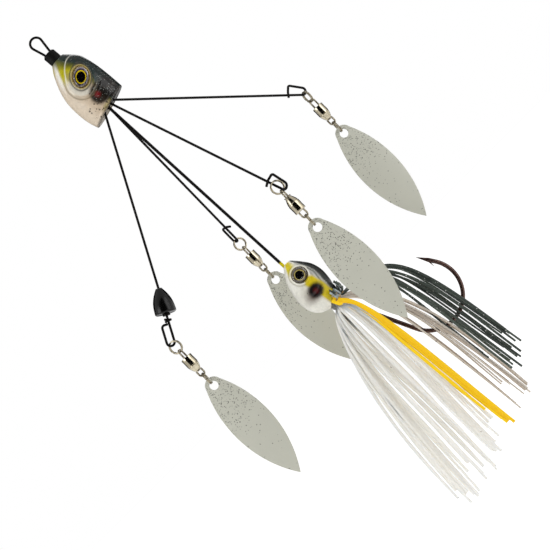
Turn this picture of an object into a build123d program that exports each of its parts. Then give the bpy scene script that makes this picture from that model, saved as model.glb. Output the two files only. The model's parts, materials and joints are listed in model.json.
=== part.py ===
from build123d import *
import os
from dataclasses import dataclass
from math import asin, atan2, cos, hypot, radians, sin, sqrt, tan

# Umbrella-style spinnerbait, hanging plumb from its line tie. Millimetres.
# Origin: the centre of the line tie's round end. +Z: up the line.
# +X: the back side, where the hook point is. -Y and +Y: the two flanks.

# ---- fits and running clearances ----
GRIP_FIT = 0.02        # a wire or shank in the lead cast round it, per side
PRESS_FIT = 0.05       # an eye disc in its socket, a collar on its neck
BEAD_FIT = 0.08        # the sliding bead on its wire, per side
SPIN_FIT = 0.06        # the swivel's turning faces
LINK_PLAY = 0.12       # a ring hanging on a wire, at its nearest
TURNED_PLAY = 0.36     # the same for a ring turned off its wire
STEEP_PLAY = 0.04      # the same for a ring caught on a steep wire
SWING_PLAY = 0.16      # an eye or blade hole hanging on a ring

# ---- line tie and front head (head frame: its axis on Z, leaning at the line tie) ----
HEAD_LEAN = 4.6
TIE_WIRE = 0.4
TIE_ROUND = 2.0
TIE_LIFT = 0.4
TIE_HALF_GAP = 1.1
TIE_WAIST = 4.0
SLEEVE_RADIUS = 2.25
SLEEVE_TOP = -4.45
SLEEVE_LENGTH = 3.8
SLEEVE_CHAMFER = 0.5
TIE_GRIP = 4.6
HEAD_REAR = -30.5
REAR_TILT = 11.3
# height, belly side, back side, half breadth
HEAD_SECTIONS = [
    (-8.3, -2.35, 3.05, 2.4),
    (-10.2, -3.9, 4.6, 3.6),
    (-12.3, -5.2, 6.05, 4.5),
    (-15.0, -6.6, 6.8, 5.2),
    (-19.0, -8.0, 7.35, 5.7),
    (-24.0, -8.6, 7.55, 5.9),
    (-29.0, -8.35, 7.5, 5.8),
    (-34.0, -7.1, 7.3, 5.4),
]
FRONT_EYE = (1.1, -18.0)
FRONT_EYE_RADIUS = 3.1
FRONT_EYE_FLOOR = 4.3

# ---- eyes ----
EYE_THICKNESS = 0.45
EYE_LENS_RISE = 0.9

# ---- arms ----
ARM_WIRE = 0.4
ARM_ORBIT = 1.4        # wires round the centre wire inside the head
ARM_GRIP = 13.0
ARM_BEND_HEIGHT = -28.7
ARM_BEND_RADIUS = 2.6
CENTRE_WIRE = 0.5
CENTRE_GRIP = 13.0
SNAP_LENGTH = 5.3      # from the crossing to the start of the round tip
SNAP_TIP = 1.15
SNAP_MOUTH = 3.2       # width at the hook leg
SNAP_CORNER = 0.7
SNAP_HOOK = 1.2        # how far the hook leg passes the arm wire

# ---- wrapped loop, washer and bead on the left arm ----
LINK_LENGTH = 6.5
LINK_TIP = 1.27
LINK_NECK_BEND = 1.0
WRAP_TURNS = 1
WRAP_WIRE = 0.4
WASHER_RADIUS = 1.25
WASHER_THICKNESS = 0.6
WASHER_GAP = 0.7
BEAD_RADIUS = 3.48
BEAD_LENGTH = 8.3
BEAD_NOSE = 0.95
BEAD_SEAT = 0.1
BEAD_TRAVEL = 35.0

# ---- split rings, ball-bearing swivels and blades ----
RING_WIRE = 0.25       # half the radial thickness of a split ring
RING_STACK = 0.8       # its axial width, two turns side by side
RING_RADIUS = 2.1      # mean radius
EYE_WIRE = 0.3
EYE_BEND = 0.95
TOP_REACH = 2.1        # from the barrel to the centre of the upper eye's bend
BOTTOM_REACH = 1.45
BARREL_RADIUS = 1.95
BARREL_LENGTH = 5.6
TAPER_LENGTH = 2.2
NECK_RADIUS = 1.05
CUP_RADIUS = 1.42
CUP_DEPTH = 0.55
RACE_WALL = 0.4
STEM_RADIUS = 0.72
CHAMBER_RADIUS = 1.55
CHAMBER_LENGTH = 2.5
NECK_STEM = 0.5
BALL_RADIUS = 0.3
BALL_COUNT = 7
BLADE_HALF_WIDTH = 6.7
BLADE_BELOW_HOLE = 38.54
BLADE_WIDEST = 17.6    # below the hole
BLADE_BOSS = 2.86      # round top end, centred on the hole
BLADE_HOLE = 1.45
BLADE_THICKNESS = 0.5
BLADE_CUP = 32.0       # radius of the cupping across the width

# ---- jig head, hook and skirt ----
JIG_ENTRY = (5.66, -106.57)
JIG_WIRE_GRIP = 5.0
JIG_SECTIONS = [
    (-105.95, 5.6, 8.2, 0.9),
    (-107.0, 4.6, 9.1, 2.1),
    (-108.6, 3.4, 10.5, 3.3),
    (-111.5, 1.95, 12.55, 4.5),
    (-115.0, 1.05, 13.5, 5.2),
    (-118.5, 0.7, 13.35, 5.2),
    (-122.0, 1.35, 12.6, 4.4),
    (-126.5, 4.6, 12.6, 2.9),
]
JIG_EYE = (7.2, -111.4)
JIG_EYE_RADIUS = 2.6
JIG_EYE_FLOOR = 3.35
COLLAR_POINT = (9.46, -124.2)
SHANK_LEAN = 25.0
JIG_NECK_RADIUS = 2.1
JIG_NECK_LENGTH = 2.5
COLLAR_RADIUS = 2.9
HOOK_WIRE = 0.7
HOOK_GRIP = 9.0
SHANK_LENGTH = 28.4
BEND_RADIUS = 11.2
BEND_SWEEP = 188.0
POINT_LEG = 6.3
POINT_TAPER = 4.0
BARB_LENGTH = 2.6
BARB_RADIUS = 0.32
# skirt lobes, each station: centre x, centre z, slope of the run below level,
# half width, centre of the lobe off the mid plane, half thickness
WHITE_LOBE = [
    (8.7, -128.4, 90, 1.5, 0.0, 1.7),
    (7.6, -132.0, 90, 3.6, 0.0, 3.2),
    (6.85, -137.0, 90, 5.95, 0.0, 4.6),
    (6.4, -147.0, 90, 8.3, 0.0, 6.2),
    (6.1, -160.0, 90, 10.2, 0.0, 7.4),
    (5.9, -177.0, 90, 11.3, 0.0, 8.4),
    (5.6, -200.0, 90, 12.2, 0.0, 9.2),
]
YELLOW_LOBE = [
    (12.0, -126.4, 90, 1.1, 2.75, 0.45),
    (13.9, -137.0, 90, 2.0, 4.3, 0.7),
    (16.0, -152.0, 90, 2.2, 5.6, 0.8),
    (17.6, -171.0, 90, 2.4, 6.4, 0.8),
    (20.0, -192.0, 90, 2.6, 7.0, 0.8),
]
SMOKE_LOBE = [
    (13.6, -128.0, 60, 0.9, 1.95, 0.55),
    (18.3, -134.0, 55, 1.5, 3.6, 0.8),
    (23.6, -143.0, 68, 2.0, 4.1, 1.1),
    (26.6, -157.0, 80, 2.4, 4.3, 1.3),
    (31.0, -189.0, 82, 3.0, 4.6, 1.5),
]
DARK_LOBE = [
    (14.3, -126.2, 18, 0.8, 1.95, 0.55),
    (21.5, -129.4, 25, 2.2, 3.9, 1.1),
    (28.8, -134.8, 50, 4.0, 4.6, 1.6),
    (32.8, -144.0, 72, 4.4, 4.9, 1.9),
    (34.8, -156.0, 80, 4.8, 5.2, 2.2),
    (37.8, -178.0, 82, 5.1, 5.6, 2.5),
]


@dataclass
class Arm:
    """One arm: where its wire goes, how its link is turned and what hangs from it."""
    name: str
    azimuth: float      # round the head's axis, from the back side (+X)
    splay: float        # from the head's axis
    reach: float        # from the bend at the head to the snap's crossing
    roll: float         # of the snap or loop round the wire
    ring_on_wire: float # where the ring is caught below the crossing; 0 hangs in the tip
    ring_yaw: float     # of the ring's axis from +X, used where the ring is caught
    blade_yaw: float
    taper_up: bool


ARMS = [
    Arm("right", 24.0, 46.1, 60.2, 0.0, 0.0, 0.0, 3.0, False),
    Arm("front", -69.5, 32.4, 68.2, -32.0, 2.8, 111.0, -4.0, True),
    Arm("back", 100.4, 28.4, 62.1, -27.0, 0.0, 0.0, 5.0, False),
    Arm("left", -165.7, 33.0, 72.63, 0.0, 0.0, 0.0, -3.0, False),
]
LEFT_RING_TURN = 45.0  # the ring in the plain wrapped loop lies askew

HEAD_FRAME = Location((0, 0, 0), (0, -HEAD_LEAN, 0))
UP = Vector(0, 0, 1)


# ---- small helpers ----
def head_point(x, y, z):
    """A point of the head's own frame, in the part's frame."""
    return (HEAD_FRAME * Pos(x, y, z)).position


def polar(direction, angle):
    """A level unit vector turned by an angle in degrees from a level direction."""
    return direction.rotate(Axis.Z, angle)


def wire_path(points, radii):
    """Straight runs through the points, joined by tangent arcs of the given radii."""
    pieces = []
    start = points[0]
    for before, corner, after, radius in zip(points, points[1:], points[2:], radii):
        back = (before - corner).normalized()
        ahead = (after - corner).normalized()
        half = radians(back.get_angle(ahead)) / 2
        setback = radius / tan(half)
        enter = corner + back * setback
        leave = corner + ahead * setback
        middle = corner + (back + ahead).normalized() * (radius / sin(half) - radius)
        if (enter - start).length > 1e-4:
            pieces.append(Line(start, enter))
        pieces.append(ThreePointArc(enter, middle, leave))
        start = leave
    pieces.append(Line(start, points[-1]))
    return Wire([piece.edge() for piece in pieces])


def swept_rod(path, radius):
    """A round rod along a path."""
    section = Plane(origin=path @ 0, z_dir=path % 0) * Circle(radius)
    return sweep(section, path=path)


def rod_between(start, end, radius):
    """A straight round rod."""
    run = end - start
    plane = Plane(origin=start, z_dir=run)
    return plane * Cylinder(radius, run.length, align=(Align.CENTER, Align.CENTER, Align.MIN))


def drum(radius, low, high):
    """A cylinder on Z between two heights."""
    return Pos(0, 0, low) * Cylinder(radius, high - low, align=(Align.CENTER, Align.CENTER, Align.MIN))


def frustum(low_radius, high_radius, low, high):
    """A cone frustum on Z between two heights."""
    return Pos(0, 0, low) * Cone(low_radius, high_radius, high - low,
                                 align=(Align.CENTER, Align.CENTER, Align.MIN))


def level_sections(sections):
    """Ellipses on level planes, from rows of height, two sides and half breadth."""
    return [Pos((left + right) / 2, 0, height) * Ellipse((right - left) / 2, breadth)
            for height, left, right, breadth in sections]


def eye_parts(centre_x, centre_z, radius, floor, side):
    """A flat eye disc in its socket and the clear lens on it, on one flank."""
    seat = Plane(origin=(centre_x, side * floor, centre_z), x_dir=(1, 0, 0), z_dir=(0, side, 0))
    disc = seat * drum(radius, 0, EYE_THICKNESS)
    sphere = (radius ** 2 + EYE_LENS_RISE ** 2) / (2 * EYE_LENS_RISE)
    ball = Pos(0, 0, EYE_THICKNESS + EYE_LENS_RISE - sphere) * Sphere(sphere)
    lens = seat * (ball & drum(radius, EYE_THICKNESS, EYE_THICKNESS + 2 * EYE_LENS_RISE))
    socket = seat * drum(radius + PRESS_FIT, -GRIP_FIT, 20)
    return disc, lens, socket


# ---- line tie, sleeve and front head ----
def line_tie(radius):
    """The teardrop loop and its two legs, which run down into the head."""
    low = SLEEVE_TOP - SLEEVE_LENGTH - TIE_GRIP
    rise = TIE_LIFT + TIE_WAIST
    spread = atan2(TIE_HALF_GAP, rise) - asin(TIE_ROUND / hypot(TIE_HALF_GAP, rise))
    top = TIE_LIFT + TIE_ROUND
    shoulder = TIE_HALF_GAP - tan(spread) * (top + TIE_WAIST)
    points = [head_point(x, 0, z) for x, z in (
        (-TIE_HALF_GAP, low), (-TIE_HALF_GAP, -TIE_WAIST), (-shoulder, top),
        (shoulder, top), (TIE_HALF_GAP, -TIE_WAIST), (TIE_HALF_GAP, low))]
    return swept_rod(wire_path(points, [TIE_ROUND] * 4), radius)


def nose_sleeve():
    """The sleeve over the loop's waist, bored for its two legs."""
    bottom = SLEEVE_TOP - SLEEVE_LENGTH
    body = drum(SLEEVE_RADIUS, bottom, SLEEVE_TOP - SLEEVE_CHAMFER)
    body += frustum(SLEEVE_RADIUS, SLEEVE_RADIUS - SLEEVE_CHAMFER,
                    SLEEVE_TOP - SLEEVE_CHAMFER, SLEEVE_TOP)
    return HEAD_FRAME * body - line_tie(TIE_WIRE + GRIP_FIT)


def front_head(sockets):
    """The cast fish head, cut square behind, with eye sockets and wire bores."""
    body = loft(level_sections(HEAD_SECTIONS))
    rear = Plane(origin=(0, 0, HEAD_REAR), z_dir=(sin(radians(REAR_TILT)), 0, -cos(radians(REAR_TILT))))
    body -= rear * Box(60, 60, 20, align=(Align.CENTER, Align.CENTER, Align.MIN))
    head = HEAD_FRAME * body
    for socket in sockets:
        head -= socket
    head -= line_tie(TIE_WIRE + GRIP_FIT)
    head -= centre_wire(CENTRE_WIRE + GRIP_FIT)
    for arm in ARMS:
        head -= arm_root(arm, ARM_WIRE + GRIP_FIT)
    return head


# ---- arms ----
def arm_start(arm):
    """Top end, bend point and direction of one arm wire."""
    x = ARM_ORBIT * cos(radians(arm.azimuth))
    y = ARM_ORBIT * sin(radians(arm.azimuth))
    bend = head_point(x, y, ARM_BEND_HEIGHT)
    top = head_point(x, y, ARM_BEND_HEIGHT + ARM_GRIP)
    outward = sin(radians(arm.splay))
    tip = head_point(x + outward * cos(radians(arm.azimuth)), y + outward * sin(radians(arm.azimuth)),
                     ARM_BEND_HEIGHT - cos(radians(arm.splay)))
    return top, bend, (tip - bend).normalized()


def arm_root(arm, radius):
    """The stretch of an arm wire inside and just behind the head."""
    top, bend, along = arm_start(arm)
    return swept_rod(wire_path([top, bend, bend + along * 8], [ARM_BEND_RADIUS]), radius)


def link_frame(arm):
    """Crossing point, arm direction, side direction and normal of an arm's link."""
    _, bend, along = arm_start(arm)
    rise = (UP - along * UP.dot(along)).normalized()
    side = rise.rotate(Axis((0, 0, 0), along), arm.roll)
    return bend + along * arm.reach, along, side, along.cross(side)


def snap_arm(arm):
    """An arm wire bent into a snap: a round tip, a return leg and a hook over the wire."""
    top, bend, _ = arm_start(arm)
    crossing, along, side, normal = link_frame(arm)
    over = normal * (2 * ARM_WIRE + SWING_PLAY)
    end = crossing + along * (SNAP_LENGTH + SNAP_TIP)
    lip = SNAP_LENGTH * 0.1
    points = [top, bend, end, end + side * (2 * SNAP_TIP),
              crossing + side * SNAP_MOUTH + along * lip + over * 0.5,
              crossing + side * (2 * ARM_WIRE) + over,
              crossing - side * SNAP_HOOK + over]
    radii = [ARM_BEND_RADIUS, SNAP_TIP, SNAP_TIP, SNAP_CORNER, SNAP_CORNER]
    return swept_rod(wire_path(points, radii), ARM_WIRE)


def loop_arm(arm):
    """The left arm wire with a long closed loop, whose end comes back to the wrap."""
    top, bend, _ = arm_start(arm)
    crossing, along, side, _ = link_frame(arm)
    end = crossing + along * (LINK_LENGTH + LINK_TIP)
    neck = crossing + along * (ARM_WIRE + WRAP_WIRE + GRIP_FIT)
    points = [top, bend, end, end + side * (2 * LINK_TIP), neck + side * (2 * LINK_TIP),
              neck + side * (ARM_WIRE + GRIP_FIT + 0.1)]
    radii = [ARM_BEND_RADIUS, LINK_TIP, LINK_TIP, LINK_NECK_BEND]
    return swept_rod(wire_path(points, radii), ARM_WIRE)


def link_wrap(arm):
    """The wire's end wound round the arm above the loop."""
    crossing, along, side, _ = link_frame(arm)
    orbit = ARM_WIRE + WRAP_WIRE + GRIP_FIT
    pitch = 2 * WRAP_WIRE + GRIP_FIT
    coil = Helix(pitch=pitch, height=pitch * WRAP_TURNS, radius=orbit)
    turn = Plane(origin=coil @ 0, z_dir=coil % 0) * Circle(WRAP_WIRE)
    wound = sweep(turn, path=coil, is_frenet=True)
    return Plane(origin=crossing, x_dir=side, z_dir=-along) * wound


def bead_frame(arm):
    """The plane at the bead's flat end, facing up the arm wire."""
    crossing, along, side, _ = link_frame(arm)
    wrap = (2 * WRAP_WIRE + GRIP_FIT) * WRAP_TURNS + WRAP_WIRE
    washer = crossing - along * (wrap + WASHER_GAP)
    return washer, along, side


def bead_washer(arm):
    """The small stop washer between the wrap and the bead."""
    washer, along, side = bead_frame(arm)
    ring = drum(WASHER_RADIUS, 0, WASHER_THICKNESS) - drum(ARM_WIRE + GRIP_FIT, -1, 2)
    return Plane(origin=washer, x_dir=side, z_dir=-along) * ring


def bullet_bead(arm):
    """The bullet-shaped bead that slides on the left arm wire, narrow end up."""
    washer, along, side = bead_frame(arm)
    belly = BEAD_LENGTH * 0.55
    half = [(0, 0), (BEAD_RADIUS - 0.3, 0), (BEAD_RADIUS, 0.3)]
    outline = Polyline(*half) + Spline((BEAD_RADIUS, 0.3), (BEAD_RADIUS * 0.84, belly), (BEAD_NOSE, BEAD_LENGTH),
                                       tangents=[(0, 1), (-0.7, 1)])
    outline += Polyline((BEAD_NOSE, BEAD_LENGTH), (0, BEAD_LENGTH), (0, 0))
    body = revolve(Plane.XZ * make_face(outline), Axis.Z)
    body -= drum(ARM_WIRE + BEAD_FIT, -1, BEAD_LENGTH + 1)
    base = washer - along * (WASHER_THICKNESS + BEAD_SEAT)
    return Plane(origin=base, x_dir=side, z_dir=-along) * body


def centre_wire(radius):
    """The thicker straight wire from the front head into the jig head."""
    start = head_point(0, 0, ARM_BEND_HEIGHT + CENTRE_GRIP)
    entry = Vector(JIG_ENTRY[0], 0, JIG_ENTRY[1])
    run = (entry - start).normalized()
    return rod_between(start, entry + run * JIG_WIRE_GRIP, radius)


# ---- one hanging chain: upper ring, swivel, lower ring, blade ----
@dataclass
class Hang:
    """Where one chain hangs: its pivots, level axes and directions."""
    hook: Vector        # the wire's centre under the upper ring
    upper: Vector       # level axis of the upper ring
    lower: Vector       # level axis of the lower ring
    drop: float         # from the wire's centre to the upper ring's centre

    def down(self, distance):
        """The point a distance below the hanging point."""
        return self.hook - UP * distance

    @property
    def eye_pivot(self):
        return self.drop + RING_RADIUS

    @property
    def barrel_top(self):
        return self.eye_pivot + eye_offset() + TOP_REACH

    @property
    def ring_pivot(self):
        return self.barrel_top + BARREL_LENGTH + BOTTOM_REACH + EYE_BEND

    @property
    def blade_pivot(self):
        return self.ring_pivot + ring_drop(EYE_WIRE) + RING_RADIUS


def eye_offset():
    """How far an eye's bend is centred below the ring section it hangs on."""
    return EYE_BEND - EYE_WIRE - RING_WIRE - SWING_PLAY


def ring_drop(wire_radius, turn=0.0, play=LINK_PLAY):
    """From a wire's centre to the centre of a ring hung on it, its axis turned off the wire."""
    bore = RING_RADIUS - RING_WIRE
    skew = radians(turn)
    reach = tan(skew) * RING_STACK / 2 + wire_radius * (1 / cos(skew) - 1)
    return sqrt(bore ** 2 - reach ** 2) - wire_radius - play


def hang_of(arm):
    """The hanging point and axes of an arm's chain."""
    crossing, along, side, normal = link_frame(arm)
    lower = polar(Vector(1, 0, 0), arm.blade_yaw)
    if arm.ring_on_wire:
        hook = crossing + along * arm.ring_on_wire
        steep = ARM_WIRE / sin(radians(along.get_angle(-UP)))
        slab = RING_STACK / 2 / tan(radians(along.get_angle(-UP)))
        drop = RING_RADIUS - RING_WIRE - steep - slab - STEEP_PLAY
        return Hang(hook, polar(Vector(1, 0, 0), arm.ring_yaw), lower, drop)
    plain_loop = arm.name == "left"
    straight, tip = (LINK_LENGTH, LINK_TIP) if plain_loop else (SNAP_LENGTH, SNAP_TIP)
    sag = (-UP + normal * UP.dot(normal)).normalized()
    hook = crossing + along * straight + side * tip + sag * tip
    upper = normal.cross(UP).normalized()
    turn, play = (LEFT_RING_TURN, TURNED_PLAY) if plain_loop else (0.0, LINK_PLAY)
    return Hang(hook, polar(upper, turn), lower, ring_drop(ARM_WIRE, turn, play))


def placed(point, axis_x, solid):
    """A solid modelled about the origin, set at a point with its X along a level axis."""
    return Plane(origin=point, x_dir=axis_x, z_dir=UP) * solid


def split_ring():
    """A split ring with its axis on X: a two-turn stack with a flat-oval section."""
    section = Plane.XZ * Pos(0, RING_RADIUS) * SlotOverall(RING_STACK, 2 * RING_WIRE)
    return revolve(section, Axis.X)


def eye_bow(reach, foot):
    """A wire eye standing on Z: bend centre at the reach, legs down to the foot."""
    path = Wire([
        Line((-EYE_BEND, 0, foot), (-EYE_BEND, 0, reach)).edge(),
        ThreePointArc((-EYE_BEND, 0, reach), (0, 0, reach + EYE_BEND), (EYE_BEND, 0, reach)).edge(),
        Line((EYE_BEND, 0, reach), (EYE_BEND, 0, foot)).edge()])
    return swept_rod(path, EYE_WIRE)


def race_eye(reach):
    """The eye on the ball-bearing side; the barrel's flat end is at height 0."""
    cup_floor = -CUP_DEPTH + SPIN_FIT
    race = -CUP_DEPTH - RACE_WALL
    flange = race - 2 * (BALL_RADIUS + SPIN_FIT)
    body = drum(CUP_RADIUS - SPIN_FIT, cup_floor, cup_floor + 0.35)
    body += drum(STEM_RADIUS, flange - 0.4, cup_floor)
    body += drum(CHAMBER_RADIUS - SPIN_FIT, flange - 0.4, flange)
    return body + eye_bow(reach, cup_floor + 0.1)


def neck_eye(reach):
    """The eye on the tapered side; the barrel's neck end is at height 0."""
    neck = BARREL_LENGTH - CUP_DEPTH - RACE_WALL - CHAMBER_LENGTH
    body = drum(NECK_RADIUS + 0.15, SPIN_FIT, SPIN_FIT + 0.35)
    body += drum(NECK_STEM, -neck - SPIN_FIT - 0.4, SPIN_FIT)
    body += drum(NECK_STEM + 0.4, -neck - SPIN_FIT - 0.4, -neck - SPIN_FIT)
    return body + eye_bow(reach, SPIN_FIT + 0.1)


def barrel():
    """The swivel barrel: flat end at height 0, taper below, bored for both eyes."""
    race = -CUP_DEPTH - RACE_WALL
    chamber = race - CHAMBER_LENGTH
    shell = drum(BARREL_RADIUS, TAPER_LENGTH - BARREL_LENGTH, 0)
    shell = fillet(shell.edges().group_by(Axis.Z)[-1], 0.25)
    shell += frustum(NECK_RADIUS, BARREL_RADIUS, -BARREL_LENGTH, TAPER_LENGTH - BARREL_LENGTH)
    shell -= drum(CUP_RADIUS, -CUP_DEPTH, 1)
    shell -= drum(STEM_RADIUS + SPIN_FIT, race, 0)
    shell -= drum(CHAMBER_RADIUS, chamber, race)
    return shell - drum(NECK_STEM + SPIN_FIT, -BARREL_LENGTH - 1, race)


def bearing_balls():
    """The ring of steel balls between the race and the upper eye's flange."""
    height = -CUP_DEPTH - RACE_WALL - BALL_RADIUS - SPIN_FIT
    orbit = (STEM_RADIUS + CHAMBER_RADIUS) / 2
    return Compound([Pos(orbit * cos(turn), orbit * sin(turn), height) * Sphere(BALL_RADIUS)
                     for turn in (radians(360 / BALL_COUNT * i) for i in range(BALL_COUNT))])


def blade():
    """A willow-leaf blade in the XZ plane, hung by the top of its hole at the origin."""
    tip = (0, -BLADE_BELOW_HOLE)
    seat = 12.0
    shoulder = (BLADE_BOSS * cos(radians(seat)), BLADE_BOSS * sin(radians(seat)))
    mirror = (-shoulder[0], shoulder[1])
    outline = ThreePointArc(tip, (BLADE_HALF_WIDTH, -BLADE_WIDEST), shoulder)
    outline += ThreePointArc(shoulder, (0, BLADE_BOSS), mirror)
    outline += ThreePointArc(mirror, (-BLADE_HALF_WIDTH, -BLADE_WIDEST), tip)
    face = make_face(outline) - Circle(BLADE_HOLE)
    plate = extrude(Plane.XZ * face, 8, both=True)
    outer = BLADE_CUP + BLADE_THICKNESS / 2
    skin = drum(outer, -60, 20) - drum(outer - BLADE_THICKNESS, -61, 21)
    leaf = plate & (Pos(0, BLADE_CUP, 0) * skin)
    return Pos(0, 0, RING_WIRE + SWING_PLAY - BLADE_HOLE) * leaf.solids().sort_by(Axis.Y)[0]


def chain_nodes(arm):
    """The moving pieces of one chain, by node name."""
    hang = hang_of(arm)
    flip = Rot(180, 0, 0)
    body, balls = barrel(), bearing_balls()
    if arm.taper_up:
        body, balls = [Pos(0, 0, -BARREL_LENGTH) * flip * piece for piece in (body, balls)]
        top_eye, bottom_eye = neck_eye(TOP_REACH), race_eye(BOTTOM_REACH)
    else:
        top_eye, bottom_eye = race_eye(TOP_REACH), neck_eye(BOTTOM_REACH)
    barrel_top = hang.down(hang.barrel_top)
    barrel_end = hang.down(hang.barrel_top + BARREL_LENGTH)
    return {
        f"upper_ring_{arm.name}": placed(hang.down(hang.drop), hang.upper, split_ring()),
        f"swivel_top_eye_{arm.name}": placed(barrel_top, hang.upper, top_eye),
        f"swivel_barrel_{arm.name}": placed(barrel_top, hang.lower, body),
        f"swivel_balls_{arm.name}": placed(barrel_top, hang.lower, balls),
        f"swivel_bottom_eye_{arm.name}": placed(barrel_end, hang.lower, flip * bottom_eye),
        f"lower_ring_{arm.name}": placed(hang.down(hang.ring_pivot + ring_drop(EYE_WIRE)), hang.lower, split_ring()),
        f"blade_{arm.name}": placed(hang.down(hang.blade_pivot), hang.lower, blade()),
    }


# ---- jig head, hook and skirt ----
def shank_plane():
    """The plane at the root of the jig's neck, facing down the hook shank."""
    lean = radians(SHANK_LEAN)
    return Plane(origin=(COLLAR_POINT[0], 0, COLLAR_POINT[1]), x_dir=(cos(lean), 0, sin(lean)),
                 z_dir=(sin(lean), 0, -cos(lean)))


def hook_frame():
    """Shank line, bend centre and point direction of the hook."""
    plane = shank_plane()
    along, back = plane.z_dir, plane.x_dir
    root = plane.origin
    bend_start = root + along * SHANK_LENGTH
    centre = bend_start + back * BEND_RADIUS
    sweep_angle = radians(BEND_SWEEP)

    def rim(angle):
        return centre - back * (BEND_RADIUS * cos(angle)) + along * (BEND_RADIUS * sin(angle))

    bend_end = rim(sweep_angle)
    toward = along * cos(sweep_angle) + back * sin(sweep_angle)
    return root, along, bend_start, rim(sweep_angle / 2), bend_end, toward


def hook(radius=HOOK_WIRE):
    """A round-bend hook with a tapered point and a small inner barb."""
    root, along, bend_start, middle, bend_end, toward = hook_frame()
    knee = bend_end + toward * (POINT_LEG - POINT_TAPER)
    path = Wire([
        Line(root - along * HOOK_GRIP, bend_start).edge(),
        ThreePointArc(bend_start, middle, bend_end).edge(),
        Line(bend_end, knee).edge()])
    body = swept_rod(path, radius)
    point = Cone(radius, 0.06, POINT_TAPER, align=(Align.CENTER, Align.CENTER, Align.MIN))
    body += Plane(origin=knee, z_dir=toward) * point
    inward = toward.cross(Vector(0, 1, 0)).normalized()
    if inward.X > 0:
        inward = -inward
    lean = (inward * 0.62 - toward).normalized()
    barb = Cone(BARB_RADIUS, 0.05, BARB_LENGTH, align=(Align.CENTER, Align.CENTER, Align.MIN))
    body += Plane(origin=knee + inward * 0.2, z_dir=lean) * barb
    return body


def jig_head(sockets):
    """The jig's cast fish head and neck, bored for the centre wire and the hook."""
    plane = shank_plane()
    body = loft(level_sections(JIG_SECTIONS))
    body -= plane * Box(40, 40, 20, align=(Align.CENTER, Align.CENTER, Align.MIN))
    body += plane * drum(JIG_NECK_RADIUS, -1.5, JIG_NECK_LENGTH)
    for socket in sockets:
        body -= socket
    body -= centre_wire(CENTRE_WIRE + GRIP_FIT)
    root, along, *_ = hook_frame()
    return body - rod_between(root - along * (HOOK_GRIP + GRIP_FIT), root + along * 9, HOOK_WIRE + GRIP_FIT)


def skirt_collar():
    """The band that holds the skirt on the jig's neck."""
    band = drum(COLLAR_RADIUS, PRESS_FIT, JIG_NECK_LENGTH)
    band = fillet(band.edges(), 0.3)
    return shank_plane() * (band - drum(JIG_NECK_RADIUS + PRESS_FIT, -1, JIG_NECK_LENGTH + 1))


def skirt_lobe(stations, side):
    """A soft lobe of strands as one closed solid, on one flank."""
    sections = []
    for x, z, slope, half_width, off, half_depth in stations:
        lean = radians(90 - slope)
        plane = Plane(origin=(x, side * off, z), x_dir=(cos(lean), 0, sin(lean)),
                      z_dir=(-sin(lean), 0, cos(lean)))
        sections.append(plane * Ellipse(half_width, half_depth))
    return loft(sections, ruled=True)


def both_flanks(stations):
    """The same lobe on both flanks, either side of the hook."""
    return Compound([skirt_lobe(stations, side).solid() for side in (-1, 1)])


# ---- the whole part ----
def build():
    """Every node of the part, by name."""
    nodes = {"line_tie_loop": line_tie(TIE_WIRE), "nose_sleeve": nose_sleeve()}
    head_sockets, jig_sockets = [], []
    for side, flank in ((-1, "left"), (1, "right")):
        parts = [HEAD_FRAME * piece for piece in
                 eye_parts(*FRONT_EYE, FRONT_EYE_RADIUS, FRONT_EYE_FLOOR, side)]
        nodes[f"front_eye_{flank}"], nodes[f"front_eye_lens_{flank}"], socket = parts
        head_sockets.append(socket)
        parts = eye_parts(*JIG_EYE, JIG_EYE_RADIUS, JIG_EYE_FLOOR, side)
        nodes[f"jig_eye_{flank}"], nodes[f"jig_eye_lens_{flank}"], socket = parts
        jig_sockets.append(socket)
    nodes["front_head"] = front_head(head_sockets)
    nodes["centre_wire"] = centre_wire(CENTRE_WIRE)
    for arm in ARMS:
        nodes[f"arm_wire_{arm.name}"] = loop_arm(arm) if arm.name == "left" else snap_arm(arm)
        nodes.update(chain_nodes(arm))
    left = ARMS[-1]
    nodes["link_wrap"] = link_wrap(left)
    nodes["bead_washer"] = bead_washer(left)
    nodes["bullet_bead"] = bullet_bead(left)
    nodes["jig_head"] = jig_head(jig_sockets)
    nodes["hook"] = hook()
    nodes["skirt_collar"] = skirt_collar()
    nodes["skirt_white"] = skirt_lobe(WHITE_LOBE, 1)
    nodes["skirt_yellow"] = both_flanks(YELLOW_LOBE)
    nodes["skirt_smoke"] = both_flanks(SMOKE_LOBE)
    nodes["skirt_dark"] = both_flanks(DARK_LOBE)
    return nodes


def main():
    """Write one STEP file for each node."""
    os.makedirs("parts", exist_ok=True)
    for name, solid in build().items():
        export_step(solid, os.path.join("parts", name + ".step"))


if __name__ == "__main__":
    main()
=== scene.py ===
"""Umbrella spinnerbait: painted heads, pearl blades, bright swivels and a silicone skirt.

All lengths in the classes are millimetres in the row frame; UNIT turns them into metres.
"""
from __future__ import annotations

import json
import logging
import math
from collections.abc import Callable
from dataclasses import dataclass, field
from enum import Enum

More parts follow.
